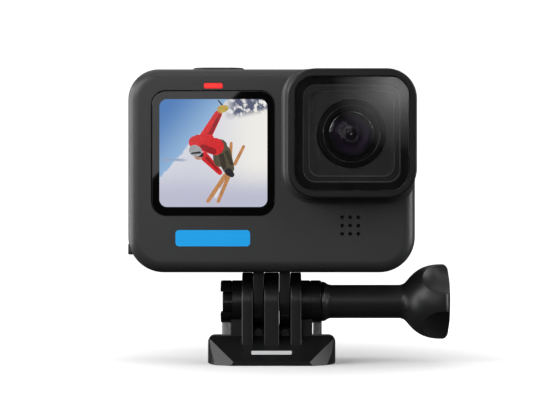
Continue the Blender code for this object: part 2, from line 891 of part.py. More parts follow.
lens_cover_frame = slab(
    "lens_cover_frame",
    "Y",
    around(LENS_X, COVER_SIDE),
    around(LENS_Z, COVER_SIDE),
    (COVER_FRONT, COVER_BACK),
    COVER_RADIUS,
    low_fillet=COVER_CHAMFER,
)
cut(
    lens_cover_frame,
    cover_square(
        "cover_glass_seat",
        GLASS_SIDE + 2 * CLEARANCE,
        GLASS_RADIUS + CLEARANCE,
        (COVER_FRONT - CUT_OVERLAP, GLASS_SEAT_Y),
    ),
    cover_square("cover_step_1", STEP_SIDES[0], STEP_RADII[0], (COVER_FRONT, STEP_ENDS[0])),
    cover_square("cover_step_2", STEP_SIDES[1], STEP_RADII[1], (COVER_FRONT, STEP_ENDS[1])),
    rod("cover_bore", "Y", LENS_CENTRE, COVER_BORE, (COVER_FRONT, COVER_BACK + CUT_OVERLAP)),
    ring("cover_seal_groove", "Y", LENS_CENTRE, SEAL_GROOVE, (SEAL_GROOVE_Y, COVER_BACK + CUT_OVERLAP)),
)
finish(lens_cover_frame, BLACK_METAL, 0.35, 0.6, origin=LENS_ORIGIN)

lens_cover_glass = cover_square("lens_cover_glass", GLASS_SIDE, GLASS_RADIUS, GLASS_Y)
finish(lens_cover_glass, GLASS_BLACK, 0.03, origin=LENS_ORIGIN)

lens_cover_seal = ring("lens_cover_seal", "Y", LENS_CENTRE, COVER_SEAL_RADII, COVER_SEAL_Y)
finish(lens_cover_seal, DARK_RUBBER, 0.7, origin=LENS_ORIGIN)

# ---------------------------------------------------------------------- lens


def cap_profile(apex, radius, sag, outward):
    """Points over a spherical surface from its apex to its rim; outward is +1 or -1 in Y."""
    sphere = (radius**2 + sag**2) / (2 * sag)
    points = []
    for step in range(DOME_STEPS + 1):
        reach = radius * step / DOME_STEPS
        drop = sphere - math.sqrt(sphere**2 - reach**2)
        points.append((apex - outward * drop, reach))
    return points


for name, profile, metallic in (
    ("lens_mount_ring", MOUNT_RING, 0.7),
    ("lens_barrel", BARREL, 0.5),
    ("lens_retaining_ring", RETAINING_RING, 0.8),
):
    finish(turned(name, "Y", LENS_CENTRE, profile), BLACK_METAL, 0.35, metallic)

dome = cap_profile(FRONT_DOME_APEX, FRONT_DOME_RADIUS, FRONT_DOME_SAG, -1)
rim = [
    (FRONT_RIM_Y[0], FRONT_DOME_RADIUS),
    (FRONT_RIM_Y[0], FRONT_RIM_RADIUS),
    (FRONT_RIM_Y[1], FRONT_RIM_RADIUS),
    (FRONT_RIM_Y[1], 0.0),
]
front_element = turned("lens_front_element", "Y", LENS_CENTRE, dome + rim)
finish(front_element, LENS_COATING, 0.02)

for name, span in (("lens_middle_element", MIDDLE_ELEMENT_Y), ("lens_rear_element", REAR_ELEMENT_Y)):
    low = cap_profile(span[0], INNER_LENS_RADIUS, INNER_LENS_SAG, -1)
    high = cap_profile(span[1], INNER_LENS_RADIUS, INNER_LENS_SAG, 1)
    finish(turned(name, "Y", LENS_CENTRE, low + high[::-1]), LENS_COATING, 0.02)

finish(ring("lens_aperture_stop", "Y", LENS_CENTRE, STOP_RADII, STOP_Y), BLACK_METAL, 0.6)
infrared_filter = rod("infrared_filter", "Y", LENS_CENTRE, FILTER_RADIUS, FILTER_Y)
finish(infrared_filter, FILTER_RED, 0.03)
sensor_x = around(LENS_X, SENSOR_SIDES[0])
sensor_z = around(LENS_Z, SENSOR_SIDES[1])
finish(slab("image_sensor", "Y", sensor_x, sensor_z, SENSOR_Y, CHIP_RADIUS), GLASS_BLACK, 0.1)
sensor_board = cover_square("sensor_board", SENSOR_BOARD_SIDE, PANEL_RADIUS, SENSOR_BOARD_Y)
finish(sensor_board, BOARD_GREEN, 0.5)

# ------------------------------------------------------------------- buttons


def button(name, axis, a, b, along, radius, skirt, resting):
    """A rounded button with a wider skirt that holds it in from behind the wall."""
    made = slab(name, axis, a, b, along, radius, high_fillet=BUTTON_FILLET)
    flange = slab(
        name + "_skirt",
        axis,
        grow(a, BUTTON_SKIRT),
        grow(b, BUTTON_SKIRT),
        skirt,
        radius + BUTTON_SKIRT,
    )
    join(made, flange)
    finish(made, DARK_RUBBER, 0.5, origin=resting)


button(
    "shutter_button",
    "Z",
    SHUTTER_X,
    SHUTTER_Y,
    SHUTTER_Z,
    SHUTTER_RADIUS,
    SHUTTER_SKIRT_Z,
    (middle(SHUTTER_X), 0.0, SHUTTER_Z[0]),
)
button(
    "mode_button",
    "X",
    MODE_Y,
    MODE_Z,
    MODE_X,
    MODE_RADIUS,
    MODE_SKIRT_X,
    (MODE_X[0], 0.0, middle(MODE_Z)),
)
finish(block("shutter_switch", *SHUTTER_SWITCH), STEEL, 0.35, 0.9)
finish(block("mode_switch", *MODE_SWITCH), STEEL, 0.35, 0.9)

# ----------------------------------------------------------------- side door


def door_outline():
    """The door's section across Y: the body's own curve outside, a barrel round the pin on top."""
    points = [(DOOR_INNER_X, DOOR_BOTTOM)]
    lower = BODY_Z[0] + BOTTOM_RADIUS
    upper = BODY_Z[1] - TOP_RADIUS
    for start, end in ((DOOR_BOTTOM, lower), (upper, DOOR_HINGE[1])):
        for step in range(DOOR_CURVE_STEPS + 1):
            height = start + (end - start) * step / DOOR_CURVE_STEPS
            points.append((body_side_x(height), height))
    for step in range(1, 2 * DOOR_CURVE_STEPS + 1):
        angle = math.pi * (1 - step / (2 * DOOR_CURVE_STEPS))
        x = DOOR_HINGE[0] + DOOR_BARREL * math.cos(angle)
        z = DOOR_HINGE[1] + DOOR_BARREL * math.sin(angle)
        points.append((x, z))
    return points


door_origin = (DOOR_HINGE[0], 0.0, DOOR_HINGE[1])
side_door = prism("side_door", "Y", door_outline(), DOOR_Y)
cut(
    side_door,
    rod("door_bore", "Y", DOOR_HINGE, DOOR_PIN_BORE, grow(DOOR_Y, CUT_OVERLAP), PIN_STEPS),
    hoop(
        "door_seal_groove",
        "X",
        [grow(span, CLEARANCE / 2) for span in DOOR_SEAL_OUTER],
        [grow(span, -CLEARANCE / 2) for span in DOOR_SEAL_INNER],
        (DOOR_SEAL_X[0] - CLEARANCE / 2, DOOR_INNER_X + CUT_OVERLAP),
        DOOR_SEAL_RADIUS,
        DOOR_SEAL_RADIUS,
    ),
    block(
        "latch_recess",
        (BODY_X[0] - CUT_OVERLAP, LATCH_X[1] + CLEARANCE),
        grow(LATCH_Y, CLEARANCE),
        (LATCH_Z[0] - LATCH_TRAVEL - CLEARANCE, LATCH_Z[1] + CLEARANCE),
    ),
    block(
        "latch_slot",
        (BODY_X[0], LATCH_SLOT_DEPTH),
        grow(LATCH_STEM[1], CLEARANCE),
        (LATCH_STEM[2][0] - LATCH_TRAVEL - CLEARANCE, LATCH_STEM[2][1] + CLEARANCE),
    ),
)
finish(side_door, DARK_RUBBER, 0.6, origin=door_origin)

door_seal = hoop(
    "door_seal",
    "X",
    DOOR_SEAL_OUTER,
    DOOR_SEAL_INNER,
    DOOR_SEAL_X,
    DOOR_SEAL_RADIUS,
    DOOR_SEAL_RADIUS - CLEARANCE,
)
finish(door_seal, SEAL_GREY, 0.7, origin=door_origin)

door_latch = slab(
    "door_latch",
    "X",
    LATCH_Y,
    LATCH_Z,
    LATCH_X,
    LATCH_RADIUS,
    low_fillet=LATCH_CHAMFER,
)
join(door_latch, block("latch_stem", *LATCH_STEM))
finish(door_latch, BLACK_PLASTIC, 0.4, origin=(LATCH_X[1], 0.0, LATCH_Z[0]))

door_hinge_pin = rod("door_hinge_pin", "Y", DOOR_HINGE, DOOR_PIN_RADIUS, DOOR_PIN_Y, PIN_STEPS)
finish(door_hinge_pin, STEEL, 0.25, 1.0)

# --------------------------------------------------- battery, card, port, board

battery = slab("battery", "X", BATTERY_Y, BATTERY_Z, BATTERY_X, BATTERY_RADIUS)
finish(battery, BATTERY_GREY, 0.45)

sleeve_inner = (grow(BATTERY_Y, CLEARANCE), grow(BATTERY_Z, CLEARANCE))
battery_sleeve = hoop(
    "battery_sleeve",
    "X",
    [grow(span, SLEEVE_WALL) for span in sleeve_inner],
    sleeve_inner,
    SLEEVE_X,
    BATTERY_RADIUS + SLEEVE_WALL,
    BATTERY_RADIUS,
)
finish(battery_sleeve, BLACK_PLASTIC, 0.5)
finish(block("battery_contacts", *CONTACTS), GOLD, 0.3, 0.8)

finish(block("memory_card", *CARD), BLACK_PLASTIC, 0.35)
memory_card_socket = block("memory_card_socket", *CARD_SOCKET)
cut(
    memory_card_socket,
    block(
        "card_slot",
        (CARD[0][0], CARD_SLOT_END),
        grow(CARD[1], CLEARANCE),
        grow(CARD[2], CLEARANCE / 2),
    ),
)
finish(memory_card_socket, STEEL, 0.3, 0.9)

usb_port = slab("usb_port", "X", PORT_Y, PORT_Z, PORT_X, PORT_RADIUS)
cut(
    usb_port,
    slab(
        "port_hollow",
        "X",
        grow(PORT_Y, -PORT_SHELL),
        grow(PORT_Z, -PORT_SHELL),
        (PORT_X[0] - CUT_OVERLAP, PORT_FLOOR_X),
        PORT_RADIUS - PORT_SHELL,
    ),
)
join(usb_port, block("port_tongue", *PORT_TONGUE))
finish(usb_port, STEEL, 0.3, 0.9)

finish(block("main_board", *MAIN_BOARD), BOARD_GREEN, 0.5)
finish(block("processor", *PROCESSOR), GLASS_BLACK, 0.4)
heat_sink = block("heat_sink", *HEAT_SINK)
fin_pitch = (HEAT_SINK[2][1] - HEAT_SINK[2][0]) / SINK_FINS
cut(
    heat_sink,
    merged(
        "fin_gaps",
        [
            block(
                f"fin_gap_{index}",
                grow(HEAT_SINK[0], CUT_OVERLAP),
                (HEAT_SINK[1][1] - SINK_FIN_DEPTH, HEAT_SINK[1][1] + CUT_OVERLAP),
                around(HEAT_SINK[2][0] + fin_pitch * index, fin_pitch / 2),
            )
            for index in range(1, SINK_FINS)
        ],
    ),
)
finish(heat_sink, BARE_ALUMINIUM, 0.4, 0.9)

# ------------------------------------------------------------------- fingers


def clamp_side(radius, top, sink_to):
    """The outline of an upright lug across X: a half circle round the clamp axis, then straight."""
    points = []
    towards = 1 if top else -1
    for step in range(2 * CORNER_STEPS + 1):
        angle = math.pi * step / (2 * CORNER_STEPS)
        y = radius * math.cos(angle)
        points.append((y, CLAMP_Z + towards * radius * math.sin(angle)))
    points.append((-radius, sink_to))
    points.append((radius, sink_to))
    return points


for name, side in (("left", -1), ("right", 1)):
    span = FINGER_X if side > 0 else mirrored(FINGER_X)
    pin_centre = (side * middle(FINGER_X), FINGER_PIN_Z)
    half = (FINGER_X[1] - FINGER_X[0]) / 2
    finger = prism(f"{name}_finger", "X", clamp_side(FINGER_RADIUS, False, FINGER_PIN_Z), span)
    reach = (-FINGER_RADIUS + SKIN_INSET, FINGER_RADIUS - SKIN_INSET)
    join(finger, rod(f"{name}_finger_barrel", "Y", pin_centre, half - SKIN_INSET, reach, PIN_STEPS))
    across = grow(span, CUT_OVERLAP)
    along = grow(reach, CUT_OVERLAP)
    cut(
        finger,
        rod(f"{name}_finger_bore", "X", CLAMP_CENTRE, SCREW_BORE, across, BORE_STEPS),
        rod(f"{name}_finger_pin_hole", "Y", pin_centre, FINGER_PIN_BORE, along, PIN_STEPS),
    )
    finish(finger, BLACK_METAL, 0.35, 0.7)
    pin = rod(
        f"{name}_finger_pin",
        "Y",
        pin_centre,
        FINGER_PIN_RADIUS,
        (-FINGER_PIN_Y, FINGER_PIN_Y),
        PIN_STEPS,
    )
    finish(pin, STEEL, 0.25, 1.0)

# -------------------------------------------------------------------- buckle


def base_outline():
    """Plan of the base: straight toe, quarter-ellipse front corners, small rear corners."""
    points = []
    reach = BASE_HALF_WIDTH - BASE_FRONT_HALF_WIDTH
    for step in range(BASE_CURVE_STEPS + 1):
        angle = math.pi / 2 * step / BASE_CURVE_STEPS
        x = BASE_FRONT_HALF_WIDTH + reach * math.sin(angle)
        points.append((x, BASE_FRONT * math.cos(angle)))
    for step in range(CORNER_STEPS + 1):
        angle = math.pi / 2 * step / CORNER_STEPS
        x = BASE_HALF_WIDTH - BASE_REAR_RADIUS * (1 - math.cos(angle))
        y = BASE_REAR - BASE_REAR_RADIUS * (1 - math.sin(angle))
        points.append((x, y))
    return points + [(-x, y) for x, y in reversed(points)]


def corner_facet(name, side):
    """A large block whose lower face is the sloping facet at one front corner."""
    reach = (-CORNER_FACET_CUTTER / 2, CORNER_FACET_CUTTER / 2)
    made = block(name, reach, reach, (0.0, CORNER_FACET_CUTTER))
    mirror = Vector((side, 1.0, 1.0))
    turn = (Vector(CORNER_FACET_NORMAL) * mirror).to_track_quat("Z", "Y").to_matrix().to_4x4()
    made.data.transform(Matrix.Translation(Vector(CORNER_FACET_POINT) * mirror) @ turn)
    return made


def hexagon(name, flats, along):
    """A hexagonal bar on the clamp axis with a flat facing front."""
    made = rod(name, "X", (0.0, 0.0), flats / math.sqrt(3), along, HEXAGON_SIDES)
    made.data.transform(Matrix.Translation(CLAMP_ORIGIN) @ Matrix.Rotation(math.pi / 2, 4, "X"))
    return made


slope = (BASE_TOP - TOE_HEIGHT) / (SLOPE_TOP_Y - BASE_FRONT)
slope_low = TOE_HEIGHT - slope * SLOPE_REACH
slope_high = BASE_TOP + slope * SLOPE_REACH
slope_section = [
    (BASE_FRONT - SLOPE_REACH, slope_low),
    (SLOPE_TOP_Y + SLOPE_REACH, slope_high),
    (BASE_FRONT - SLOPE_REACH, slope_high),
]
beyond = BASE_HALF_WIDTH + CUT_OVERLAP
shoulder_slope = SHOULDER_DROP / SHOULDER_INSET
shoulder_rise = BASE_TOP + CUT_OVERLAP * shoulder_slope
shoulder_section = [
    (BASE_HALF_WIDTH - SHOULDER_INSET - CUT_OVERLAP, shoulder_rise),
    (beyond, BASE_TOP - SHOULDER_DROP - CUT_OVERLAP * shoulder_slope),
    (beyond, shoulder_rise),
]
shoulder_y = (BASE_FRONT - CUT_OVERLAP, BASE_REAR + CUT_OVERLAP)

mount_buckle = prism("mount_buckle", "Z", base_outline(), (0.0, BASE_TOP))
cut(
    mount_buckle,
    prism("toe_slope", "X", slope_section, (-BODY_WIDTH, BODY_WIDTH)),
    corner_facet("right_facet", 1),
    corner_facet("left_facet", -1),
    prism("right_shoulder", "Y", shoulder_section, shoulder_y),
    prism("left_shoulder", "Y", [(-x, z) for x, z in shoulder_section], shoulder_y),
)
join(
    mount_buckle,
    slab("rail", "Z", (-RAIL_X, RAIL_X), RAIL_Y, RAIL_Z, (0.0, 0.0, RAIL_RADIUS, RAIL_RADIUS)),
)
prong_section = clamp_side(PRONG_RADIUS, True, PRONG_SINK)
join(
    mount_buckle,
    prism("middle_prong", "X", prong_section, (-MIDDLE_PRONG, MIDDLE_PRONG)),
    prism("right_prong", "X", prong_section, OUTER_PRONG),
    prism("left_prong", "X", prong_section, mirrored(OUTER_PRONG)),
    block("right_web", WEB_X, WEB_Y, WEB_Z),
    block("left_web", mirrored(WEB_X), WEB_Y, WEB_Z),
    rod("right_hub", "X", CLAMP_CENTRE, HUB_RADIUS, (middle(OUTER_PRONG), HUB_END)),
    rod("left_hub", "X", CLAMP_CENTRE, HUB_RADIUS, (-NUT_HUB_END, -middle(OUTER_PRONG))),
    slab("right_slot_rib", "Y", SLOT_RIB_X, SLOT_RIB_Z, SLOT_RIB_Y, SLOT_RIB_RADIUS),
    slab("left_slot_rib", "Y", mirrored(SLOT_RIB_X), SLOT_RIB_Z, SLOT_RIB_Y, SLOT_RIB_RADIUS),
    block("slot_dam", (-SLOT_DAM_X, SLOT_DAM_X), SLOT_DAM_Y, SLOT_DAM_Z),
)
cut(
    mount_buckle,
    rod("clamp_bore", "X", CLAMP_CENTRE, SCREW_BORE, (-beyond, beyond), BORE_STEPS),
    hexagon("nut_pocket", NUT_POCKET_FLATS, (-beyond, NUT_SEAT_X)),
    block(
        "nut_window",
        NUT_WINDOW_X,
        (-PRONG_RADIUS, PRONG_RADIUS),
        (CLAMP_Z - NUT_WINDOW_HALF_HEIGHT, CLAMP_Z + NUT_WINDOW_HALF_HEIGHT),
    ),
)
finish(mount_buckle, BLACK_PLASTIC, 0.38)

captive_nut = hexagon("captive_nut", NUT_FLATS, NUT_X)
cut(captive_nut, rod("nut_bore", "X", CLAMP_CENTRE, SCREW_BORE, grow(NUT_X, CUT_OVERLAP), BORE_STEPS))
finish(captive_nut, STEEL, 0.3, 1.0)

for name, side in (("left", -1), ("right", 1)):
    span = ARM_X if side > 0 else mirrored(ARM_X)
    outer = side * ARM_X[1]
    arm = block(f"{name}_latch_arm", span, ARM_Y, ARM_Z)
    tab_z = (ARM_Z[0] + SKIN_INSET, TAB_TOP)
    thick = grow(span, -SKIN_INSET)
    join(arm, slab(f"{name}_tab", "X", grow(TAB_Y, -SKIN_INSET), tab_z, thick, TAB_RADIUS))
    pitch = (TAB_Y[1] - TAB_Y[0]) / RIB_COUNT
    ribs = []
    for index in range(RIB_COUNT):
        centre = TAB_Y[0] + pitch * (index + 0.5)
        proud = sorted((outer - side * RIB_PROUD, outer + side * RIB_PROUD))
        rib_z = (ARM_Z[0] + TAB_RADIUS, TAB_TOP - TAB_RADIUS)
        ribs.append(block(f"{name}_rib_{index}", proud, around(centre, RIB_WIDTH), rib_z))
    join(arm, merged(f"{name}_ribs", ribs))
    finish(arm, ARM_GREY, 0.5, origin=(side * middle(ARM_X), ARM_HINGE_Y, ARM_Z[0]))

# ----------------------------------------------------------- washer and screw

clamp_washer = ring("clamp_washer", "X", CLAMP_CENTRE, WASHER_RADII, WASHER_X)
finish(clamp_washer, STEEL, 0.2, 1.0, origin=CLAMP_ORIGIN)

clamp_screw = rod("clamp_screw", "X", CLAMP_CENTRE, SCREW_RADIUS, SCREW_X, BORE_STEPS)
finish(clamp_screw, STEEL, 0.25, 1.0, origin=CLAMP_ORIGIN)

thumb_knob = turned("thumb_knob", "X", CLAMP_CENTRE, KNOB_PROFILE)
scoop_profile = [
    (SCOOP_DOME_X - SCOOP_RADIUS * math.cos(angle), SCOOP_RADIUS * math.sin(angle))
    for angle in (math.pi / 2 * step / SCOOP_DOME_STEPS for step in range(SCOOP_DOME_STEPS + 1))
]
scoop_profile += [(SCOOP_END_X, SCOOP_RADIUS), (SCOOP_END_X, 0.0)]
scoops = []
for index in range(KNOB_LOBES):
    angle = math.tau * (index + 0.5) / KNOB_LOBES
    centre = (SCOOP_DISTANCE * math.cos(angle), CLAMP_Z + SCOOP_DISTANCE * math.sin(angle))
    scoops.append(turned(f"scoop_{index}", "X", centre, scoop_profile))
cut(
    thumb_knob,
    rod("knob_bore", "X", CLAMP_CENTRE, KNOB_BORE, (0.0, KNOB_BORE_END), BORE_STEPS),
    *scoops,
)
finish(thumb_knob, BLACK_PLASTIC, 0.4, origin=CLAMP_ORIGIN)

# --------------------------------------------------------------- tilt grouping

FIXED = {
    "mount_buckle",
    "captive_nut",
    "left_latch_arm",
    "right_latch_arm",
    "clamp_washer",
    "clamp_screw",
    "thumb_knob",
}
tilt_axis = bpy.data.objects.new("camera_tilt_axis", None)
tilt_axis.location = CLAMP_ORIGIN
CAMERA.objects.link(tilt_axis)
for piece in CAMERA.objects:
    if piece.type == "MESH" and piece.name not in FIXED:
        piece.parent = tilt_axis
        piece.matrix_parent_inverse = Matrix.Translation(-Vector(CLAMP_ORIGIN))
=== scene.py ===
import math

import bmesh
import bpy
from mathutils import Matrix, Vector


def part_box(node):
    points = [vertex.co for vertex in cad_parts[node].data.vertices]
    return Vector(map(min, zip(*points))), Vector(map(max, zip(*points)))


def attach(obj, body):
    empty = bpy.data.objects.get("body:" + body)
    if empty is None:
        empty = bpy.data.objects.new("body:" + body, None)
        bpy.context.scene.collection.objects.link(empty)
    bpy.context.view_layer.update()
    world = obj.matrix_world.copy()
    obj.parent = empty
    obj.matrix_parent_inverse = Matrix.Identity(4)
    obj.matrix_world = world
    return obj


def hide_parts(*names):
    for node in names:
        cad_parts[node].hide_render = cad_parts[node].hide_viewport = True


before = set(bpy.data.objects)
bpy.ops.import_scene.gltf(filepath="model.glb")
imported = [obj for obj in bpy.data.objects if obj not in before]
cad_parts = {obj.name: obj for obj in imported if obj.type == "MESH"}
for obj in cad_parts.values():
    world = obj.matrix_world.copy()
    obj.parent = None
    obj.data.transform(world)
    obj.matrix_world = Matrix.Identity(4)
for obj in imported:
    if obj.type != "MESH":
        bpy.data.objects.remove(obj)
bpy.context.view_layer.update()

# ---------------------------------------------------------------- dimensions
# Metres. Places come from the frame; these are the radii and margins it doesn't name.

TOP_RADIUS = 0.0075
BOTTOM_RADIUS = 0.0088
BODY_RADII = (BOTTOM_RADIUS, BOTTOM_RADIUS, TOP_RADIUS, TOP_RADIUS)
EDGE_FILLET = 0.0029
WALL = 0.0016
GAP = 0.0003
SEAM_FILLET = 0.00025
CORNER_STEPS = 14
FILLET_STEPS = 8
ROUND_STEPS = 96
PIN_STEPS = 24
CUT = 0.001
WELD = 0.000001
SHARP_ANGLE = math.radians(32)


def spans(node):
    """A CAD node's extent along X, Y and Z."""
    low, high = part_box(node)
    return [(low[i], high[i]) for i in range(3)]


FRONT_X, FRONT_Y, FRONT_Z = spans("front_cover")
FRAME_X, FRAME_Y, FRAME_Z = spans("mid_frame")
REAR_X, REAR_Y, REAR_Z = spans("rear_cover")
REAR = REAR_Y[1]
FRONT = -REAR


def centre(node):
    low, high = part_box(node)
    return [(low[i] + high[i]) / 2 for i in range(3)]


LENS_X, _, LENS_Z = centre("lens_barrel")
LENS = (LENS_X, LENS_Z)
CLAMP_Z = centre("clamp_screw")[2]
CLAMP = (0.0, CLAMP_Z)

# ------------------------------------------------------------------- shapes


def grow(span, by):
    return (span[0] - by, span[1] + by)


def around(centre, side):
    return (centre - side / 2, centre + side / 2)


def middle(span):
    return (span[0] + span[1]) / 2


def place(axis, a, b, along):
    """Orders two values across an axis and one along it as X, Y, Z."""
    return {"X": (along, a, b), "Y": (a, along, b), "Z": (a, b, along)}[axis]


TURNS = {
    "X": Matrix.Rotation(math.pi / 2, 4, "Y"), "Y": Matrix.Rotation(-math.pi / 2, 4, "X"),
    "Z": Matrix.Identity(4),
}


def as_object(name, mesh):
    bmesh.ops.recalc_face_normals(mesh, faces=mesh.faces)
    if mesh.calc_volume(signed=True) < 0:
        bmesh.ops.reverse_faces(mesh, faces=mesh.faces)
    data = bpy.data.meshes.new(name)
    mesh.to_mesh(data)
    mesh.free()
    made = bpy.data.objects.new(name, data)
    bpy.context.scene.collection.objects.link(made)
    return made


def box_mesh(x, y, z):
    mesh = bmesh.new()
    bmesh.ops.create_cube(mesh, size=1.0)
    bmesh.ops.scale(mesh, vec=[high - low for low, high in (x, y, z)], verts=mesh.verts)
    bmesh.ops.translate(mesh, vec=[middle(span) for span in (x, y, z)], verts=mesh.verts)
    return mesh


def round_edges(mesh, chosen, radius, steps):
    edges = [edge for edge in mesh.edges if all(chosen(vert.co) for vert in edge.verts)]
    bmesh.ops.bevel(
        mesh, geom=edges, offset=radius, offset_type="OFFSET", segments=steps, profile=0.5, affect="EDGES",
        clamp_overlap=True,
    )


def slab(name, axis, a, b, along, radii, low=0.0, high=0.0, steps=CORNER_STEPS):
    """A box with its four edges along an axis rounded and its end rims filleted."""
    if isinstance(radii, float):
        radii = (radii,) * 4
    mesh = box_mesh(*place(axis, a, b, along))
    line = "XYZ".index(axis)
    corners = ((a[0], b[0]), (a[1], b[0]), (a[1], b[1]), (a[0], b[1]))
    for corner, radius in zip(corners, radii):
        if radius:
            foot = Vector(place(axis, *corner, 0.0))
            round_edges(
                mesh, lambda point: all(abs(point[i] - foot[i]) < WELD for i in range(3) if i != line),
                radius, steps,
            )
    for end, fillet in zip(along, (low, high)):
        if fillet:
            rim_steps = FILLET_STEPS if fillet > 0.001 else 3
            round_edges(mesh, lambda point: abs(point[line] - end) < WELD, fillet, rim_steps)
    return as_object(name, mesh)


def block(name, x, y, z, edge=0.0):
    mesh = box_mesh(x, y, z)
    if edge:
        round_edges(mesh, lambda point: True, edge, 3)
    return as_object(name, mesh)


def prism(name, axis, outline, along, edge=0.0):
    """A flat outline across an axis, extruded, with its rims rounded a little."""
    mesh = bmesh.new()
    face = mesh.faces.new([mesh.verts.new(place(axis, a, b, along[0])) for a, b in outline])
    grown = bmesh.ops.extrude_face_region(mesh, geom=[face])["geom"]
    moved = [item for item in grown if isinstance(item, bmesh.types.BMVert)]
    bmesh.ops.translate(mesh, vec=place(axis, 0.0, 0.0, along[1] - along[0]), verts=moved)
    if edge:
        line = "XYZ".index(axis)
        for end in along:
            round_edges(mesh, lambda point: abs(point[line] - end) < WELD, edge, 3)
    return as_object(name, mesh)


def turned(name, axis, centre, profile, steps=ROUND_STEPS):
    """Turns (distance along the axis, radius) points; a profile that starts off the axis is a ring."""
    mesh = bmesh.new()
    verts = [mesh.verts.new((radius, 0.0, along)) for along, radius in profile]
    edges = [mesh.edges.new(pair) for pair in zip(verts, verts[1:])]
    if profile[0][1] > 0:
        edges.append(mesh.edges.new((verts[-1], verts[0])))
    bmesh.ops.spin(
        mesh, geom=verts + edges, cent=(0.0, 0.0, 0.0), axis=(0.0, 0.0, 1.0), angle=math.tau, steps=steps,
        use_merge=True,
    )
    bmesh.ops.remove_doubles(mesh, verts=mesh.verts, dist=WELD)
    turn = Matrix.Translation(place(axis, *centre, 0.0)) @ TURNS[axis]
    bmesh.ops.transform(mesh, matrix=turn, verts=mesh.verts)
    return as_object(name, mesh)


def rod(name, axis, centre, radius, along, steps=ROUND_STEPS):
    profile = ((along[0], 0.0), (along[0], radius), (along[1], radius), (along[1], 0.0))
    return turned(name, axis, centre, profile, steps)


def arc(centre, radius, start, end, steps):
    """Points on an arc, with angles in degrees."""
    points = []
    for step in range(steps + 1):
        angle = math.radians(start + (end - start) * step / steps)
        points.append((centre[0] + radius * math.cos(angle), centre[1] + radius * math.sin(angle)))
    return points


def bake(target):
    """Replaces an object's mesh by its evaluated one."""
    bpy.context.view_layer.update()
    graph = bpy.context.evaluated_depsgraph_get()
    data = bpy.data.meshes.new_from_object(target.evaluated_get(graph))
    target.modifiers.clear()
    target.data = data


def combine(target, tools, operation):
    for tool in tools:
        modifier = target.modifiers.new(tool.name, "BOOLEAN")
        modifier.operation = operation
        modifier.solver = "EXACT"
        modifier.object = tool
    bake(target)
    for tool in tools:
        bpy.data.objects.remove(tool, do_unlink=True)


def cut(target, *tools):
    combine(target, tools, "DIFFERENCE")


def join(target, *tools):
    combine(target, tools, "UNION")


def soften(piece, width):
    """Rounds every sharp edge a little, as a moulded edge is."""
    bevel = piece.modifiers.new("soft_edges", "BEVEL")
    bevel.width = width
    bevel.segments = 2
    bevel.limit_method = "ANGLE"
    bevel.angle_limit = SHARP_ANGLE
    bevel.use_clamp_overlap = True


def shade(piece):
    piece.data.shade_smooth()
    piece.data.set_sharp_from_angle(angle=SHARP_ANGLE)
    normals = piece.modifiers.new("flat_faces_first", "WEIGHTED_NORMAL")
    normals.keep_sharp = True


def finish(piece, body, material, *replaced, slot=None):
    """Shades a piece, gives it its material and seats it on its CAD body."""
    piece.data.materials.clear()
    piece.data.materials.append(material)
    shade(piece)
    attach(piece, body)
    if replaced:
        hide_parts(*replaced)
    return piece


# ---------------------------------------------------------------- materials


class Surface:
    """A material being built: its node tree, its shader and its object coordinates."""

    def __init__(self, name, **values):
        self.material = bpy.data.materials.new(name)
        self.material.use_nodes = True
        self.tree = self.material.node_tree
        self.shader = self.tree.nodes["Principled BSDF"]
        self.place = self.add("TexCoord").outputs["Object"]
        self.fill(self.shader, **values)

    def put(self, socket, value):
        """Links an output to a socket, or sets the socket to a constant."""
        if isinstance(value, bpy.types.NodeSocket):
            self.tree.links.new(value, socket)
        else:
            socket.default_value = (*value, 1.0) if socket.type == "RGBA" else value

    def fill(self, node, **values):
        for key, value in values.items():
            self.put(node.inputs[key.replace("_", " ")], value)

    def add(self, kind, **values):
        """A node: lower-case names are its settings and the others its inputs."""
        node = self.tree.nodes.new("ShaderNode" + kind)
        for key in [key for key in values if key.islower()]:
            setattr(node, key, values.pop(key))
        self.fill(node, **values)
        return node

    def noise(self, scale, detail, roughness=0.5, at=None):
        values = {"Scale": scale, "Detail": detail, "Roughness": roughness}
        return self.add("TexNoise", Vector=at if at else self.place, **values).outputs["Fac"]

    def maths(self, operation, *terms):
        node = self.add("Math", operation=operation)
        for socket, term in zip(node.inputs, terms):
            self.put(socket, term)
        return node.outputs["Value"]

    def mixed(self, factor, a, b):
        return self.add("Mix", data_type="RGBA", Factor=factor, A=a, B=b).outputs["Result"]

    def ranged(self, value, source=(0.0, 1.0), target=(0.0, 1.0), kind="LINEAR"):
        node = self.add("MapRange", interpolation_type=kind, Value=value)
        self.fill(node, From_Min=source[0], From_Max=source[1], To_Min=target[0], To_Max=target[1])
        return node.outputs["Result"]

    def mapped(self, **values):
        return self.add("Mapping", Vector=self.place, **values).outputs["Vector"]

    def length(self, vector):
        return self.add("VectorMath", operation="LENGTH", Vector=vector).outputs["Value"]

    def ramp(self, share, stops):
        """A colour ramp; the first two stops take the ramp's own two."""
        node = self.add("ValToRGB", Fac=share)
        elements = node.color_ramp.elements
        for index, (position, colour) in enumerate(stops):
            stop = elements[index] if index < 2 else elements.new(position)
            stop.position = position
            stop.color = (*colour, 1.0)
        return node.outputs["Color"]


RELIEF = 0.00002


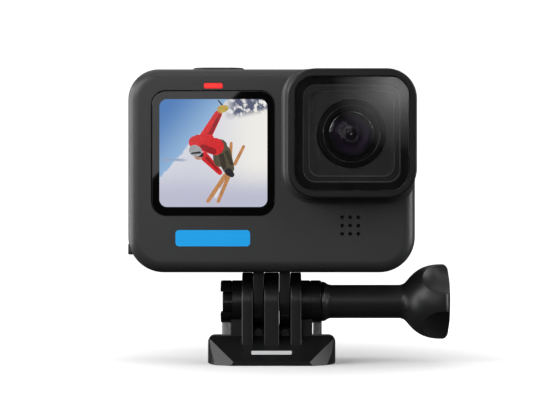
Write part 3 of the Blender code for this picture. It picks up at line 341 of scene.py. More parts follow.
def textured(
    name, dark, light, rough, grain=5000.0, bump=0.25, metallic=0.0, stretch=(1.0, 1.0, 1.0), specular=0.5,
    glow=0.0,
):
    """A moulded, cast or brushed surface: two tones, a varying roughness and a fine grain."""
    made = Surface(name, Metallic=metallic, Specular_IOR_Level=specular)
    fine = made.noise(grain, 3.0, 0.6, made.mapped(Scale=stretch))
    broad = made.noise(grain / 60, 4.0, 0.55)
    share = made.maths("MULTIPLY_ADD", fine, 0.5, made.maths("MULTIPLY", broad, 0.5))
    tone = made.mixed(share, dark, light)
    grained = made.add("Bump", Strength=bump, Distance=RELIEF, Height=fine).outputs["Normal"]
    made.fill(made.shader, Base_Color=tone, Roughness=made.ranged(broad, target=rough), Normal=grained)
    # A glow makes the surface give off its own tone: painted light.
    if glow:
        made.fill(made.shader, Emission_Color=tone, Emission_Strength=glow)
    return made.material


HOUSING = textured(
    "housing_plastic", (0.034, 0.0343, 0.0348), (0.046, 0.0463, 0.0468), (0.36, 0.44), 6500.0,
)
RUBBER = textured("soft_rubber", (0.017, 0.0172, 0.018), (0.026, 0.0263, 0.027), (0.52, 0.62), 4200.0, 0.4)
DOOR_RUBBER = textured(
    "door_rubber", (0.016, 0.0162, 0.017), (0.024, 0.0243, 0.025), (0.5, 0.6), 4200.0, 0.4,
)
BUTTON = textured("button_rubber", (0.018, 0.0182, 0.019), (0.026, 0.0263, 0.027), (0.44, 0.54), 4200.0)
COVER_METAL = textured(
    "anodised_metal", (0.011, 0.011, 0.0115), (0.017, 0.017, 0.0178), (0.3, 0.38), 7000.0, metallic=0.35,
)
FIELD = textured("matt_field", (0.018, 0.018, 0.0185), (0.025, 0.025, 0.0255), (0.42, 0.52), 6000.0, 0.08)
# Light grey lips along the lens cover's step edges: painted edge highlights.
LIP = textured("baffle_lip_painted_highlight", (0.12, 0.12, 0.123), (0.165, 0.165, 0.168), (0.35, 0.45), 6000.0, 0.1)
LENS_METAL = textured(
    "turned_metal", (0.008, 0.008, 0.009), (0.016, 0.016, 0.017), (0.22, 0.3), 8000.0, 0.1, metallic=0.6,
)
TUBE = textured(
    "black_tube", (0.0008, 0.0008, 0.0009), (0.0015, 0.0015, 0.0016), (0.4, 0.5), 8000.0, 0.1,
    specular=0.08,
)
TRIM = textured("turned_trim", (0.02, 0.02, 0.021), (0.032, 0.032, 0.034), (0.24, 0.32), 8000.0, 0.1)
SEAT = textured("lens_seat", (0.014, 0.014, 0.0145), (0.02, 0.02, 0.0205), (0.42, 0.52), 8000.0, 0.1)
BUCKLE = textured(
    "buckle_plastic", (0.0055, 0.0056, 0.0058), (0.0095, 0.0096, 0.0098), (0.28, 0.36), 5200.0,
)
KNOB = textured(
    "knob_plastic", (0.0145, 0.0147, 0.0155), (0.021, 0.0213, 0.022), (0.34, 0.42), 5200.0, 0.35,
)
ARM = textured("arm_plastic", (0.38, 0.385, 0.395), (0.52, 0.525, 0.535), (0.34, 0.44), 5200.0)
FINGER = textured(
    "brushed_finger", (0.0085, 0.0086, 0.009), (0.015, 0.0152, 0.0158), (0.26, 0.36), 6000.0, 0.3, 0.3,
    (1.0, 1.0, 0.04),
)
TURNED = (0.05, 1.0, 1.0)
STEEL = textured(
    "brushed_steel", (0.42, 0.43, 0.45), (0.62, 0.63, 0.65), (0.2, 0.32), 5000.0, 0.15, 1.0, TURNED,
)
DARK_STEEL = textured(
    "dark_steel", (0.1, 0.1, 0.105), (0.16, 0.16, 0.165), (0.24, 0.34), 5000.0, 0.15, 1.0, TURNED,
)
GOLD = textured("gold_plate", (0.75, 0.52, 0.16), (0.88, 0.66, 0.24), (0.22, 0.32), metallic=1.0)
BATTERY = textured("battery_case", (0.33, 0.34, 0.36), (0.42, 0.43, 0.45), (0.38, 0.48))
BOARD = textured("solder_mask", (0.004, 0.06, 0.028), (0.01, 0.1, 0.045), (0.3, 0.42), 3000.0)
CHIP = textured("chip_package", (0.01, 0.01, 0.011), (0.018, 0.018, 0.019), (0.4, 0.5))
SEAL = textured("grey_silicone", (0.2, 0.21, 0.23), (0.28, 0.29, 0.31), (0.5, 0.6))
# The blue print glows: painted light on a print.
GLOWING_BLUE_PRINT = textured(
    "blue_print_painted_glow", (0.001, 0.27, 0.64), (0.003, 0.31, 0.72), (0.34, 0.42), 6500.0, 0.15, glow=0.55,
)
GREY_PRINT = textured("grey_print", (0.62, 0.63, 0.64), (0.74, 0.75, 0.76), (0.38, 0.46), 6500.0, 0.15)
PRINTED_BORDER = textured(
    "printed_border", (0.001, 0.001, 0.001), (0.002, 0.002, 0.002), (0.4, 0.5), 3000.0, 0.05,
    specular=0.1,
)
DARK_SCREEN = textured(
    "dark_screen", (0.004, 0.0045, 0.006), (0.0055, 0.0062, 0.008), (0.1, 0.14), 5200.0, 0.02,
)


def polished(name, colour, roughness, **values):
    """Polished glass over one colour, with faint wiping marks in its gloss."""
    made = Surface(name, Base_Color=colour, **values)
    marks = made.noise(260.0, 5.0, 0.6)
    made.fill(made.shader, Roughness=made.ranged(marks, target=(roughness * 0.6, roughness * 1.4)))
    return made.material


def clear_glass(name, tint, index=1.45):
    return polished(name, tint, 0.012, Transmission_Weight=1.0, IOR=index)


DISPLAY_GLASS = polished("display_glass", (0.0008, 0.0008, 0.0009), 0.02)
COVER_GLASS = clear_glass("cover_glass", (0.96, 0.96, 0.97))
FILTER_GLASS = clear_glass("filter_glass", (0.65, 0.2, 0.25))
INNER_GLASS = clear_glass("inner_glass", (0.8, 0.72, 0.92))
DOME_GLASS = clear_glass("dome_glass", (0.93, 0.88, 0.98), 1.22)
RIM_GLASS = polished("rim_glass", (0.0006, 0.0006, 0.0008), 0.03, IOR=1.8)

CORE_REACH = 0.0058
# Painted reflections: a painted highlight dot at the centre, a light painted ring highlight at 0.31 and a
# purple painted coating reflection round 0.6; the other stops are dark.
CORE_PAINTED_REFLECTIONS = (
    (0.0, (0.9, 0.86, 0.95)),
    (0.05, (0.006, 0.005, 0.008)),
    (0.24, (0.008, 0.006, 0.01)),
    (0.31, (0.15, 0.11, 0.16)),
    (0.37, (0.014, 0.006, 0.018)),
    (0.6, (0.034, 0.012, 0.05)),
    (0.85, (0.01, 0.005, 0.016)),
    (1.0, (0.002, 0.002, 0.003)),
)


def lens_core():
    """Rings of colour round the lens axis that paint its reflections: a painted highlight dot, a painted
    ring highlight and a purple painted coating reflection.
    """
    made = Surface("lens_core_painted_reflections", Roughness=0.25, Specular_IOR_Level=0.12)
    shift = (-LENS_X / CORE_REACH, 0.0, -LENS_Z / CORE_REACH)
    moved = made.mapped(Location=shift, Scale=(1 / CORE_REACH, 0.0, 1 / CORE_REACH))
    made.fill(made.shader, Base_Color=made.ramp(made.length(moved), CORE_PAINTED_REFLECTIONS))
    return made.material


def red_light():
    """A lit red light pipe with a faint cloudiness."""
    made = Surface("lit_red", Base_Color=(0.1, 0.002, 0.002), Emission_Strength=0.95, Roughness=0.25)
    tone = made.mixed(made.noise(900.0, 2.0), (1.0, 0.02, 0.018), (1.0, 0.035, 0.03))
    made.fill(made.shader, Emission_Color=tone)
    return made.material


LENS_CORE = lens_core()
RED_LIGHT = red_light()

# -------------------------------------------------------------- front cover

COLLAR_FRONT = FRONT_Y[0]
COLLAR_LEFT = 0.0036
COLLAR_BOTTOM = 0.041
COLLAR_RADIUS = 0.007
COLLAR_OUTER_RADIUS = 0.0078
COLLAR_SWEEP = 0.0016
COLLAR_LIP = 0.0004
SKIN_INSET = 0.00005
COLLAR_BORE = 0.0102
GLASS_CORNER = 0.0037
PANEL_CORNER = 0.001
LIGHT_CORNER = 0.0004
GRILLE_PITCH = (0.002, 0.00205)
GRILLE_HOLE = 0.00047
GLASS_SEAT = 0.0011


def rounded(a, b, radii):
    """The outline of a rectangle, its corner radii anticlockwise from low-low."""
    corners = ((a[0], b[0], 1, 1), (a[1], b[0], -1, 1), (a[1], b[1], -1, -1), (a[0], b[1], 1, -1))
    points = []
    for turn, ((corner_a, corner_b, toward_a, toward_b), radius) in enumerate(zip(corners, radii)):
        centre_point = (corner_a + toward_a * radius, corner_b + toward_b * radius)
        points += arc(centre_point, radius, 180 + 90 * turn, 270 + 90 * turn, CORNER_STEPS)
    return points


def loft(name, rings):
    """A closed body through rings of equally many points."""
    mesh = bmesh.new()
    rows = [[mesh.verts.new(point) for point in ring] for ring in rings]
    for row, after in zip(rows, rows[1:]):
        for index in range(len(row)):
            mesh.faces.new((row[index - 1], row[index], after[index], after[index - 1]))
    mesh.faces.new(rows[0])
    mesh.faces.new(rows[-1])
    return as_object(name, mesh)


def collar():
    """The raised square round the lens, swept into the front face on two sides."""
    right = FRONT_X[1] - SKIN_INSET
    top = FRONT_Z[1] - SKIN_INSET
    lip = arc((0.0, 0.0), COLLAR_LIP, 0, 90, 4)
    levels = [(COLLAR_LIP - across, COLLAR_FRONT + COLLAR_LIP - along) for along, across in lip]
    foot = FRONT + SKIN_INSET - COLLAR_SWEEP
    for across, along in arc((0.0, 0.0), COLLAR_SWEEP, 0, 90, 12):
        levels.append((across - COLLAR_SWEEP, foot + along))
    levels.append((-COLLAR_SWEEP, FRONT + EDGE_FILLET))
    rings = []
    for inset, level in levels:
        trim = max(inset, 0.0)
        outline = rounded(
            (COLLAR_LEFT + inset, right - trim), (COLLAR_BOTTOM + inset, top - trim),
            (COLLAR_RADIUS - inset, COLLAR_RADIUS, COLLAR_OUTER_RADIUS, COLLAR_RADIUS),
        )
        rings.append([place("Y", *point, level) for point in outline])
    return loft("collar", rings)


def opening(node, axis, by, along, radius):
    """A cutter through a wall, round a CAD node's outline across that axis."""
    box = dict(zip("XYZ", spans(node)))
    a, b = (grow(box[other], by) for other in "XYZ" if other != axis)
    return slab(f"{node}_opening", axis, a, b, along, radius)


def shell_slab(name, x, z, inset, along):
    """A cutter or a body with the shell's own outline, moved in by a margin."""
    radii = tuple(radius - inset for radius in BODY_RADII)
    return slab(name, "Y", grow(x, -inset), grow(z, -inset), along, radii)


def front_housing():
    piece = slab("front_housing", "Y", FRONT_X, FRONT_Z, (FRONT, FRONT_Y[1]), BODY_RADII, low=EDGE_FILLET)
    join(piece, collar())
    through = (FRONT - CUT, FRONT + WALL + CUT)
    holes = []
    speaker = centre("speaker")
    for column in (-1, 0, 1):
        for row in (-1, 0, 1):
            spot = (speaker[0] + GRILLE_PITCH[0] * column, speaker[2] + GRILLE_PITCH[1] * row)
            holes.append(rod("hole", "Y", spot, GRILLE_HOLE, through, PIN_STEPS))
    cut(
        piece,
        shell_slab("pocket", FRONT_X, FRONT_Z, WALL, (FRONT + WALL, 0.0)),
        rod("bore", "Y", LENS, COLLAR_BORE, (COLLAR_FRONT - CUT, FRONT + WALL + CUT)),
        opening("front_display_glass", "Y", GAP / 2, (FRONT - CUT, FRONT + GLASS_SEAT), GLASS_CORNER),
        opening("front_display_panel", "Y", GAP, through, PANEL_CORNER),
        opening("front_status_light", "Y", GAP / 4, through, LIGHT_CORNER), *holes,
    )
    finish(piece, "camera", HOUSING, "front_cover", slot="black_plastic")


front_housing()

# ------------------------------------------------------- middle and rear shell

FLOOR_X = 0.0208
FLOOR_TOP = 0.0279
RECESS = ((-0.0193, 0.0193), (-0.0068, 0.0068))
RECESS_TOP = 0.0266
LEDGE_X = (-0.0327, -0.0312)
LEDGE_RADIUS = 0.005
PIN_BORE = 0.001
DOOR_PIN_BORE = 0.00058


def middle_shell():
    piece = slab(
        "middle_shell", "Y", FRAME_X, FRAME_Z, FRAME_Y, BODY_RADII, low=SEAM_FILLET, high=SEAM_FILLET
    )
    pin_y = spans("door_hinge_pin")[1]
    hinge = centre("door_hinge_pin")
    ledge = grow(LEDGE_X, CUT / 2)
    inner_radii = (LEDGE_RADIUS, BOTTOM_RADIUS - WALL, TOP_RADIUS - WALL, LEDGE_RADIUS)
    inner_x = (LEDGE_X[1], FRAME_X[1] - WALL)
    cut(piece, slab("inner", "Y", inner_x, grow(FRAME_Z, -WALL), grow(FRAME_Y, CUT), inner_radii))
    join(
        piece,
        block(
            "floor", (-FLOOR_X, FLOOR_X), grow(FRAME_Y, -SKIN_INSET), (FRAME_Z[0] + SKIN_INSET, FLOOR_TOP),
        ),
    )
    door = spans("side_door")
    door_reach = (door[2][0] - GAP / 2, door[2][1] + GAP * 1.2)
    pins = []
    for node in ("left_finger_pin", "right_finger_pin"):
        spot = centre(node)
        pins.append(
            rod(node + "_bore", "Y", (spot[0], spot[2]), PIN_BORE, grow(spans(node)[1], GAP), PIN_STEPS)
        )
    cut(
        piece, slab("recess", "Z", *RECESS, (FRAME_Z[0] - CUT, RECESS_TOP), 0.0006), *pins,
        slab(
            "door_pocket", "X", grow(door[1], GAP / 2), door_reach, (FRAME_X[0] - CUT, LEDGE_X[0]), 0.0004,
        ),
        rod("pin_sockets", "Y", (hinge[0], hinge[2]), DOOR_PIN_BORE, grow(pin_y, GAP), PIN_STEPS),
        opening("battery", "X", GAP, ledge, 0.0023), opening("memory_card", "X", GAP, ledge, 0.0002),
        opening("usb_port", "X", GAP, ledge, 0.0016),
    )
    top = (FRAME_Z[1] - WALL - CUT, FRAME_Z[1] + CUT)
    side = (FRAME_X[1] - WALL - CUT, FRAME_X[1] + CUT)
    cut(
        piece,
        slab("shutter_opening", "Z", *[grow(span, GAP / 2) for span in SHUTTER_CAP], top, SHUTTER_CORNER),
        slab("mode_opening", "X", *[grow(span, GAP / 2) for span in MODE_CAP], side, MODE_CORNER),
    )
    finish(piece, "camera", RUBBER, "mid_frame", slot="dark_rubber")


SKIRT = 0.0007
SHUTTER_CAP = tuple(grow(span, -SKIRT) for span in spans("shutter_button")[:2])
MODE_CAP = tuple(grow(span, -SKIRT) for span in spans("mode_button")[1:])
SHUTTER_CORNER = 0.0034
MODE_CORNER = 0.0024
middle_shell()


def rear_housing():
    piece = slab("rear_housing", "Y", REAR_X, REAR_Z, REAR_Y, BODY_RADII, high=EDGE_FILLET - GAP)
    through = (REAR - WALL - CUT, REAR + CUT)
    cut(
        piece,
        shell_slab("pocket", REAR_X, REAR_Z, WALL, (0.0, REAR - WALL)),
        opening("rear_display_glass", "Y", GAP / 2, (REAR - GLASS_SEAT, REAR + CUT), GLASS_CORNER),
        opening("rear_display_panel", "Y", GAP, through, PANEL_CORNER),
        opening("rear_status_light", "Y", GAP / 4, through, LIGHT_CORNER),
    )
    finish(piece, "camera", HOUSING, "rear_cover", slot="black_plastic")


rear_housing()

GASKET_INSET = (0.00035, 0.00125)
GASKET_LAP = 0.0003


def gasket(name, front, rear):
    """A dark rubber strip that closes the seam between two shells."""
    along = grow((front, rear), GASKET_LAP)
    piece = shell_slab(name, FRAME_X, FRAME_Z, GASKET_INSET[0], along)
    cut(piece, shell_slab("hole", FRAME_X, FRAME_Z, GASKET_INSET[1], grow(along, CUT)))
    finish(piece, "camera", CHIP, slot="seal_rubber")


gasket("front_gasket", FRONT_Y[1], FRAME_Y[0])
gasket("rear_gasket", FRAME_Y[1], REAR_Y[0])

# --------------------------------------------------------- displays and lights

GLASS_EDGE = 0.00022
LIGHT_EDGE = 0.0002


def fitting(name, node, corner, low, high, material, slot):
    """A window or a light pipe in the place of its CAD node."""
    x, y, z = spans(node)
    finish(slab(name, "Y", x, z, y, corner, low=low, high=high), "camera", material, node, slot=slot)


fitting(
    "display_window", "front_display_glass", GLASS_CORNER, GLASS_EDGE, 0.0, DISPLAY_GLASS, "display_glass",
)
fitting(
    "rear_display_window", "rear_display_glass", GLASS_CORNER, 0.0, GLASS_EDGE, DISPLAY_GLASS,
    "display_glass",
)
fitting("front_light", "front_status_light", LIGHT_CORNER, LIGHT_EDGE, 0.0, RED_LIGHT, "red_light")
fitting("rear_light", "rear_status_light", LIGHT_CORNER, 0.0, LIGHT_EDGE, RED_LIGHT, "red_light")

# --------------------------------------------------- picture on the front display

PICTURE_X = (-0.02765, -0.00105)
PICTURE_Z = (0.0391, 0.0657)
PICTURE_CORNER = 0.0019
PICTURE_FRONT = FRONT + 0.00003
PICTURE_SIDE = PICTURE_X[1] - PICTURE_X[0]
LIT_SCREEN = {"Base_Color": (0.01, 0.01, 0.01), "Emission_Strength": 1.0, "Roughness": 0.08}


def picture_point(u, v):
    """A place on the picture from its shares across and up."""
    return (PICTURE_X[0] + u * PICTURE_SIDE, PICTURE_Z[0] + v * PICTURE_SIDE)


def landscape():
    """A generic winter scene: sky, a snow slope rising to the right and a rock outcrop."""
    made = Surface("winter_scene", **LIT_SCREEN)
    maths, mixed = made.maths, made.mixed
    shift = (-PICTURE_X[0] / PICTURE_SIDE, 0.0, -PICTURE_Z[0] / PICTURE_SIDE)
    spot = made.mapped(Location=shift, Scale=(1 / PICTURE_SIDE, 0.0, 1 / PICTURE_SIDE))
    u, _, v = made.add("SeparateXYZ", Vector=spot).outputs

    def noise(scale, detail=4.0):
        return made.noise(scale, detail, 0.6, spot)

    def mask(value, low, high):
        return made.ranged(value, (low, high), kind="SMOOTHSTEP")

    across = maths("ADD", maths("MULTIPLY", u, 0.75), maths("MULTIPLY", v, -0.66))
    sky = mixed(mask(across, -0.62, 0.15), (0.026, 0.15, 0.42), (0.4, 0.6, 0.8))
    slope_mask = mask(maths("MULTIPLY_ADD", noise(9.0), 0.1, across), -0.135, -0.115)
    bright = mixed(mask(u, 0.35, 0.95), (0.64, 0.65, 0.72), (0.85, 0.83, 0.79))
    shadow = mixed(mask(v, 0.05, 0.5), (0.49, 0.5, 0.62), bright)
    streaks = maths("MULTIPLY_ADD", noise(14.0, 6.0), 0.16, v)
    scene = mixed(slope_mask, sky, mixed(mask(streaks, 0.2, 0.62), shadow, bright))
    rock_band = maths("SUBTRACT", v, maths("MULTIPLY", u, 0.2))
    rock_area = maths("MULTIPLY", mask(rock_band, 0.66, 0.74), mask(u, 0.58, 0.72))
    rock_area = maths("MULTIPLY", rock_area, mask(noise(16.0, 6.0), 0.4, 0.52))
    scene = mixed(rock_area, scene, (0.085, 0.1, 0.17))
    off_ridge = maths("ABSOLUTE", maths("SUBTRACT", v, 0.435))
    ridge = maths("SUBTRACT", 1.0, mask(maths("MULTIPLY_ADD", noise(20.0), 0.05, off_ridge), 0.03, 0.042))
    ridge = maths("MULTIPLY", ridge, maths("SUBTRACT", 1.0, mask(u, 0.16, 0.3)))
    made.fill(made.shader, Emission_Color=mixed(ridge, scene, (0.28, 0.34, 0.48)))
    return made.material


def screen_tone(name, colour):
    """One printed tone of the lit picture, with a little mottling."""
    made = Surface(name, **LIT_SCREEN)
    dark = [channel * 0.55 for channel in colour]
    light = [min(channel * 1.45, 1.0) for channel in colour]
    made.fill(made.shader, Emission_Color=made.mixed(made.noise(1600.0, 3.0), dark, light))
    return made.material


def capsule(start, end, first, last, steps=6):
    """The outline of a limb from a circle at one point to a circle at another."""
    (ax, ay), (bx, by) = picture_point(*start), picture_point(*end)
    heading = math.degrees(math.atan2(by - ay, bx - ax))
    points = arc((ax, ay), first * PICTURE_SIDE, heading + 90, heading + 270, steps)
    return points + arc((bx, by), last * PICTURE_SIDE, heading - 90, heading + 90, steps)


TONES = {
    "red": ("jacket_red", (0.62, 0.018, 0.022)),
    "helmet": ("helmet_grey", (0.33, 0.34, 0.36)),
    "dark": ("strap_dark", (0.018, 0.018, 0.022)),
    "olive": ("trouser_olive", (0.085, 0.072, 0.045)),
    "glove": ("glove_yellow", (0.48, 0.33, 0.06)),
    "ski": ("ski_orange", (0.5, 0.23, 0.085)),
    "shade": ("jacket_shade", (0.29, 0.008, 0.012)),
    "knee": ("trouser_shade", (0.04, 0.034, 0.022)),
    "skin": ("face_tone", (0.46, 0.25, 0.17)),
    "snow": ("snow_spray", (0.82, 0.81, 0.8)),
}
LIMBS = (
    ("dark", (0.62, 0.9), (0.545, 0.988), 0.008, 0.006),
    ("ski", (0.7, 0.4), (0.78, 0.56), 0.016, 0.014),
    ("ski", (0.655, 0.42), (0.665, 0.59), 0.016, 0.014),
    ("ski", (0.61, 0.29), (0.45, 0.055), 0.022, 0.017),
    ("ski", (0.64, 0.28), (0.545, 0.05), 0.018, 0.015),
    ("red", (0.415, 0.47), (0.56, 0.32), 0.04, 0.024),
    ("olive", (0.59, 0.5), (0.64, 0.36), 0.075, 0.055),
    ("olive", (0.56, 0.56), (0.56, 0.43), 0.07, 0.06),
    ("red", (0.33, 0.6), (0.52, 0.56), 0.06, 0.08),
    ("red", (0.42, 0.64), (0.545, 0.86), 0.055, 0.036),
    ("glove", (0.57, 0.905), (0.61, 0.915), 0.036, 0.03),
    ("shade", (0.455, 0.65), (0.56, 0.85), 0.02, 0.014),
    ("shade", (0.4, 0.56), (0.5, 0.515), 0.022, 0.03),
    ("shade", (0.44, 0.455), (0.545, 0.34), 0.014, 0.01),
    ("red", (0.35, 0.64), (0.47, 0.64), 0.03, 0.034),
    ("knee", (0.575, 0.47), (0.6, 0.37), 0.026, 0.022),
    ("knee", (0.625, 0.505), (0.668, 0.4), 0.018, 0.014),
    ("dark", (0.64, 0.325), (0.67, 0.3), 0.034, 0.026),
    ("snow", (0.56, 0.17), (0.52, 0.09), 0.008, 0.012),
    ("skin", (0.352, 0.47), (0.372, 0.462), 0.03, 0.026),
    ("dark", (0.345, 0.492), (0.388, 0.482), 0.024, 0.022),
    ("helmet", (0.325, 0.525), (0.345, 0.515), 0.052, 0.05),
    ("dark", (0.3, 0.497), (0.375, 0.505), 0.008, 0.01),
)


def figure():
    """A generic skier in the air, with a plain helmet, built from rounded limbs."""
    tones = {tone: screen_tone(*values) for tone, values in TONES.items()}
    layer = (PICTURE_FRONT - FRONT) / (2 * len(LIMBS))
    for index, (tone, start, end, first, last) in enumerate(LIMBS):
        along = (PICTURE_FRONT - layer * (index + 1), PICTURE_FRONT + SKIN_INSET)
        piece = prism(f"screen_figure_{index}", "Y", capsule(start, end, first, last), along)
        finish(piece, "camera", tones[tone], slot="screen")


picture = slab(
    "display_picture", "Y", PICTURE_X, PICTURE_Z, (PICTURE_FRONT, FRONT + 0.0005), PICTURE_CORNER,
)
finish(picture, "camera", landscape(), slot="screen")
figure()
rear_x, _, rear_z = spans("rear_display_glass")
rear_y = (REAR - 0.0004, REAR - 0.00002)
rear_screen = slab("rear_screen", "Y", grow(rear_x, -0.0026), grow(rear_z, -0.0022), rear_y, PICTURE_CORNER)
finish(rear_screen, "camera", DARK_SCREEN, slot="screen")

# ------------------------------------------------------------- printed panel

PRINT_PROUD = 0.00002
# The bar glows with its print: painted light.
blue_bar = slab(
    "blue_bar", "Y", (-0.0237, -0.0053), (0.0294, 0.0334), (FRONT - PRINT_PROUD, FRONT + WALL / 4), 0.0009,
)
finish(blue_bar, "camera", GLOWING_BLUE_PRINT, slot="black_plastic")

# ---------------------------------------------------------------- lens cover

COVER_X, COVER_Y, COVER_Z = spans("lens_cover_frame")
COVER_RADIUS = 0.0073
COVER_EDGE = 0.0005
GLASS_X, GLASS_Y = spans("lens_cover_glass")[:2]
WINDOW_RADIUS = 0.0046
STEPS = ((0.0238, 0.0031, -0.0186), (0.021, 0.0026, -0.0176))
COVER_BORE = 0.0101
BORDER_SIDE = 0.024
SEAL_GROOVE = (0.0106, 0.0128)
SEAL_GROOVE_Y = -0.0168


def lens_square(name, side, radius, along, low=0.0, high=0.0):
    return slab(name, "Y", around(LENS_X, side), around(LENS_Z, side), along, radius, low=low, high=high)


def hoop(name, sides, radii, along):
    """A square frame round the lens axis."""
    made = lens_square(name, sides[0], radii[0], along)
    cut(made, lens_square(name + "_opening", sides[1], radii[1], grow(along, CUT)))
    return made


def lens_cover():
    piece = slab(
        "cover_shell", "Y", COVER_X, COVER_Z, COVER_Y, COVER_RADIUS, low=COVER_EDGE, high=SEAM_FILLET,
    )
    side = GLASS_X[1] - GLASS_X[0]
    groove = [(SEAL_GROOVE_Y, SEAL_GROOVE[0]), (SEAL_GROOVE_Y, SEAL_GROOVE[1])]
    groove += [(COVER_Y[1] + CUT, SEAL_GROOVE[1]), (COVER_Y[1] + CUT, SEAL_GROOVE[0])]
    cut(
        piece,
        lens_square("seat", side + GAP, WINDOW_RADIUS + GAP / 2, (COVER_Y[0] - CUT, GLASS_Y[1] + GAP / 2)),
        *[
            lens_square(f"step_{index}", step_side, radius, (COVER_Y[0], depth))
            for index, (step_side, radius, depth) in enumerate(STEPS)
        ],
        rod("bore", "Y", LENS, COVER_BORE, (COVER_Y[0], COVER_Y[1] + CUT)),
        turned("groove", "Y", LENS, groove),
    )
    finish(piece, "lens_cover", COVER_METAL, "lens_cover_frame", slot="black_metal")
    window = lens_square("cover_window", side, WINDOW_RADIUS, GLASS_Y, low=GLASS_EDGE / 2)
    finish(window, "lens_cover", COVER_GLASS, "lens_cover_glass", slot="cover_glass")
    border_y = (GLASS_Y[1] + 0.00003, GLASS_Y[1] + GAP / 2)
    border = hoop("window_border", (side - GAP, BORDER_SIDE), (WINDOW_RADIUS, 0.0032), border_y)
    finish(border, "lens_cover", PRINTED_BORDER, slot="black_metal")
    field_y = (STEPS[1][2] - 0.0001, STEPS[1][2] + 0.0004)
    field = lens_square("cover_field", STEPS[1][0], STEPS[1][1], field_y)
    cut(field, rod("field_bore", "Y", LENS, COVER_BORE - 0.0016, grow(field_y, CUT)))
    finish(field, "lens_cover", FIELD, slot="black_metal")
    # Light grey lips along each step edge: painted edge highlights.
    for index, (step_side, radius, depth) in enumerate(STEPS):
        lip_y = (depth - 0.00035, depth - 0.00005)
        lip = hoop(
            f"cover_lip_{index}", (step_side - 0.00005, step_side - 0.0005), (radius, radius - 0.0002),
            lip_y,
        )
        finish(lip, "lens_cover", LIP, slot="black_metal")


lens_cover()

# ---------------------------------------------------------------------- lens

BARREL_RADIUS = 0.0083
DOME_RADIUS = 0.0053
DOME_SAG = 0.00097
RIM_CURVE = 0.0015
RIM_START = math.radians(22)
RIM_END = math.radians(78)
RIM_STEPS = 14
DOME_STEPS = 24


def dome_points(apex, radius, sag, steps):
    """Points over a spherical cap from its apex to its rim."""
    sphere = (radius**2 + sag**2) / (2 * sag)
    points = []
    for step in range(steps + 1):
        reach = radius * step / steps
        points.append((apex + sphere - math.sqrt(sphere**2 - reach**2), reach))
    return points


def lens():
    barrel_y, seat_y, trim_y, glass_y = (
        spans(f"lens_{name}")[1] for name in ("barrel", "mount_ring", "retaining_ring", "front_element")
    )
    front = barrel_y[0]
    tube = (
        (front, 0.007), (front, 0.008), (front + 0.0001, 0.00818), (front + 0.0004, BARREL_RADIUS),
        (barrel_y[1], BARREL_RADIUS), (barrel_y[1], 0.0044), (-0.0064, 0.0044), (-0.0064, 0.0054),
        (-0.0139, 0.0054), (-0.0139, 0.007),
    )
    seat = (
        (seat_y[0], 0.0086), (seat_y[0], 0.0096), (seat_y[0] + 0.0002, 0.0098), (-0.0133, 0.0098),
        (-0.0133, 0.0116), (seat_y[1], 0.0116), (seat_y[1], 0.0086),
    )
    trim = (
        (trim_y[0] + 0.0002, 0.0061), (trim_y[0], 0.0063), (trim_y[0], 0.0067),
        (trim_y[0] + 0.0001, 0.0068), (trim_y[1], 0.0068), (trim_y[1], 0.0061),
    )
    lip = (
        (front - 0.00015, 0.00684), (front - 0.0002, 0.00692), (front - 0.00015, 0.00706),
        (front + 0.0003, 0.0071), (front + 0.0003, 0.00684),
    )
    dome = dome_points(glass_y[0], DOME_RADIUS, DOME_SAG, DOME_STEPS)
    hollow = [(along + 0.0006, reach) for along, reach in dome if reach < DOME_RADIUS - 0.0003]
    outline = dome + [(dome[-1][0] + 0.0006, DOME_RADIUS)] + hollow[::-1]
    edge = dome[-1][0]
    rim = []
    for step in range(RIM_STEPS + 1):
        turn = RIM_START + (RIM_END - RIM_START) * step / RIM_STEPS
        along = edge + RIM_CURVE * (math.cos(RIM_START) - math.cos(turn))
        rim.append((along, DOME_RADIUS + RIM_CURVE * (math.sin(turn) - math.sin(RIM_START))))
    rim += [(-0.0152, rim[-1][1]), (-0.0152, DOME_RADIUS)]
    core = (
        (-0.015, 0.0), (-0.0149, 0.0003), (-0.0144, 0.0011), (-0.0146, 0.0016), (-0.0151, 0.0018),
        (-0.0149, 0.002), (-0.0146, 0.0024), (-0.0151, 0.004), (-0.015, 0.0051),
        (-0.0142, 0.0051), (-0.0141, 0.0),
    )
    for name, profile, material, slot, replaced in (
        ("lens_tube", tube, TUBE, "black_metal", ["lens_barrel"]),
        ("lens_seat", seat, SEAT, "black_metal", ["lens_mount_ring"]),
        ("lens_trim", trim, TUBE, "black_metal", ["lens_retaining_ring"]),
        ("lens_lip", lip, TRIM, "black_metal", []), ("lens_rim", rim, RIM_GLASS, "lens_glass", []),
        ("lens_dome", outline, DOME_GLASS, "lens_glass", ["lens_front_element"]),
        ("lens_core", core, LENS_CORE, "lens_glass", []),
    ):
        finish(turned(name, "Y", LENS, profile), "camera", material, *replaced, slot=slot)


lens()

# ------------------------------------------------------------------- buttons


def button(name, axis, cap, along, radius, skirt, body):
    """A domed cap over a wider hidden skirt, with a shallow dish in its face."""
    piece = slab(name, axis, *cap, along, radius, high=0.00045)
    join(piece, slab("skirt", axis, *[grow(span, SKIRT) for span in cap], skirt, radius + SKIRT))
    dish = (along[1] - 0.00012, along[1] + CUT)
    cut(
        piece,
        slab("dish", axis, *[grow(span, -0.0012) for span in cap], dish, radius - 0.0012, low=0.0001),
    )
    finish(piece, body, BUTTON, body + "_button", slot="dark_rubber")


shutter_top = spans("shutter_button")[2][1]
mode_face = spans("mode_button")[0][1]
button("shutter_cap", "Z", SHUTTER_CAP, (0.0709, shutter_top), SHUTTER_CORNER, (0.0704, 0.0713), "shutter")
button("mode_cap", "X", MODE_CAP, (0.0331, mode_face), MODE_CORNER, (0.0329, 0.0336), "mode")

# ----------------------------------------------------------------- side door

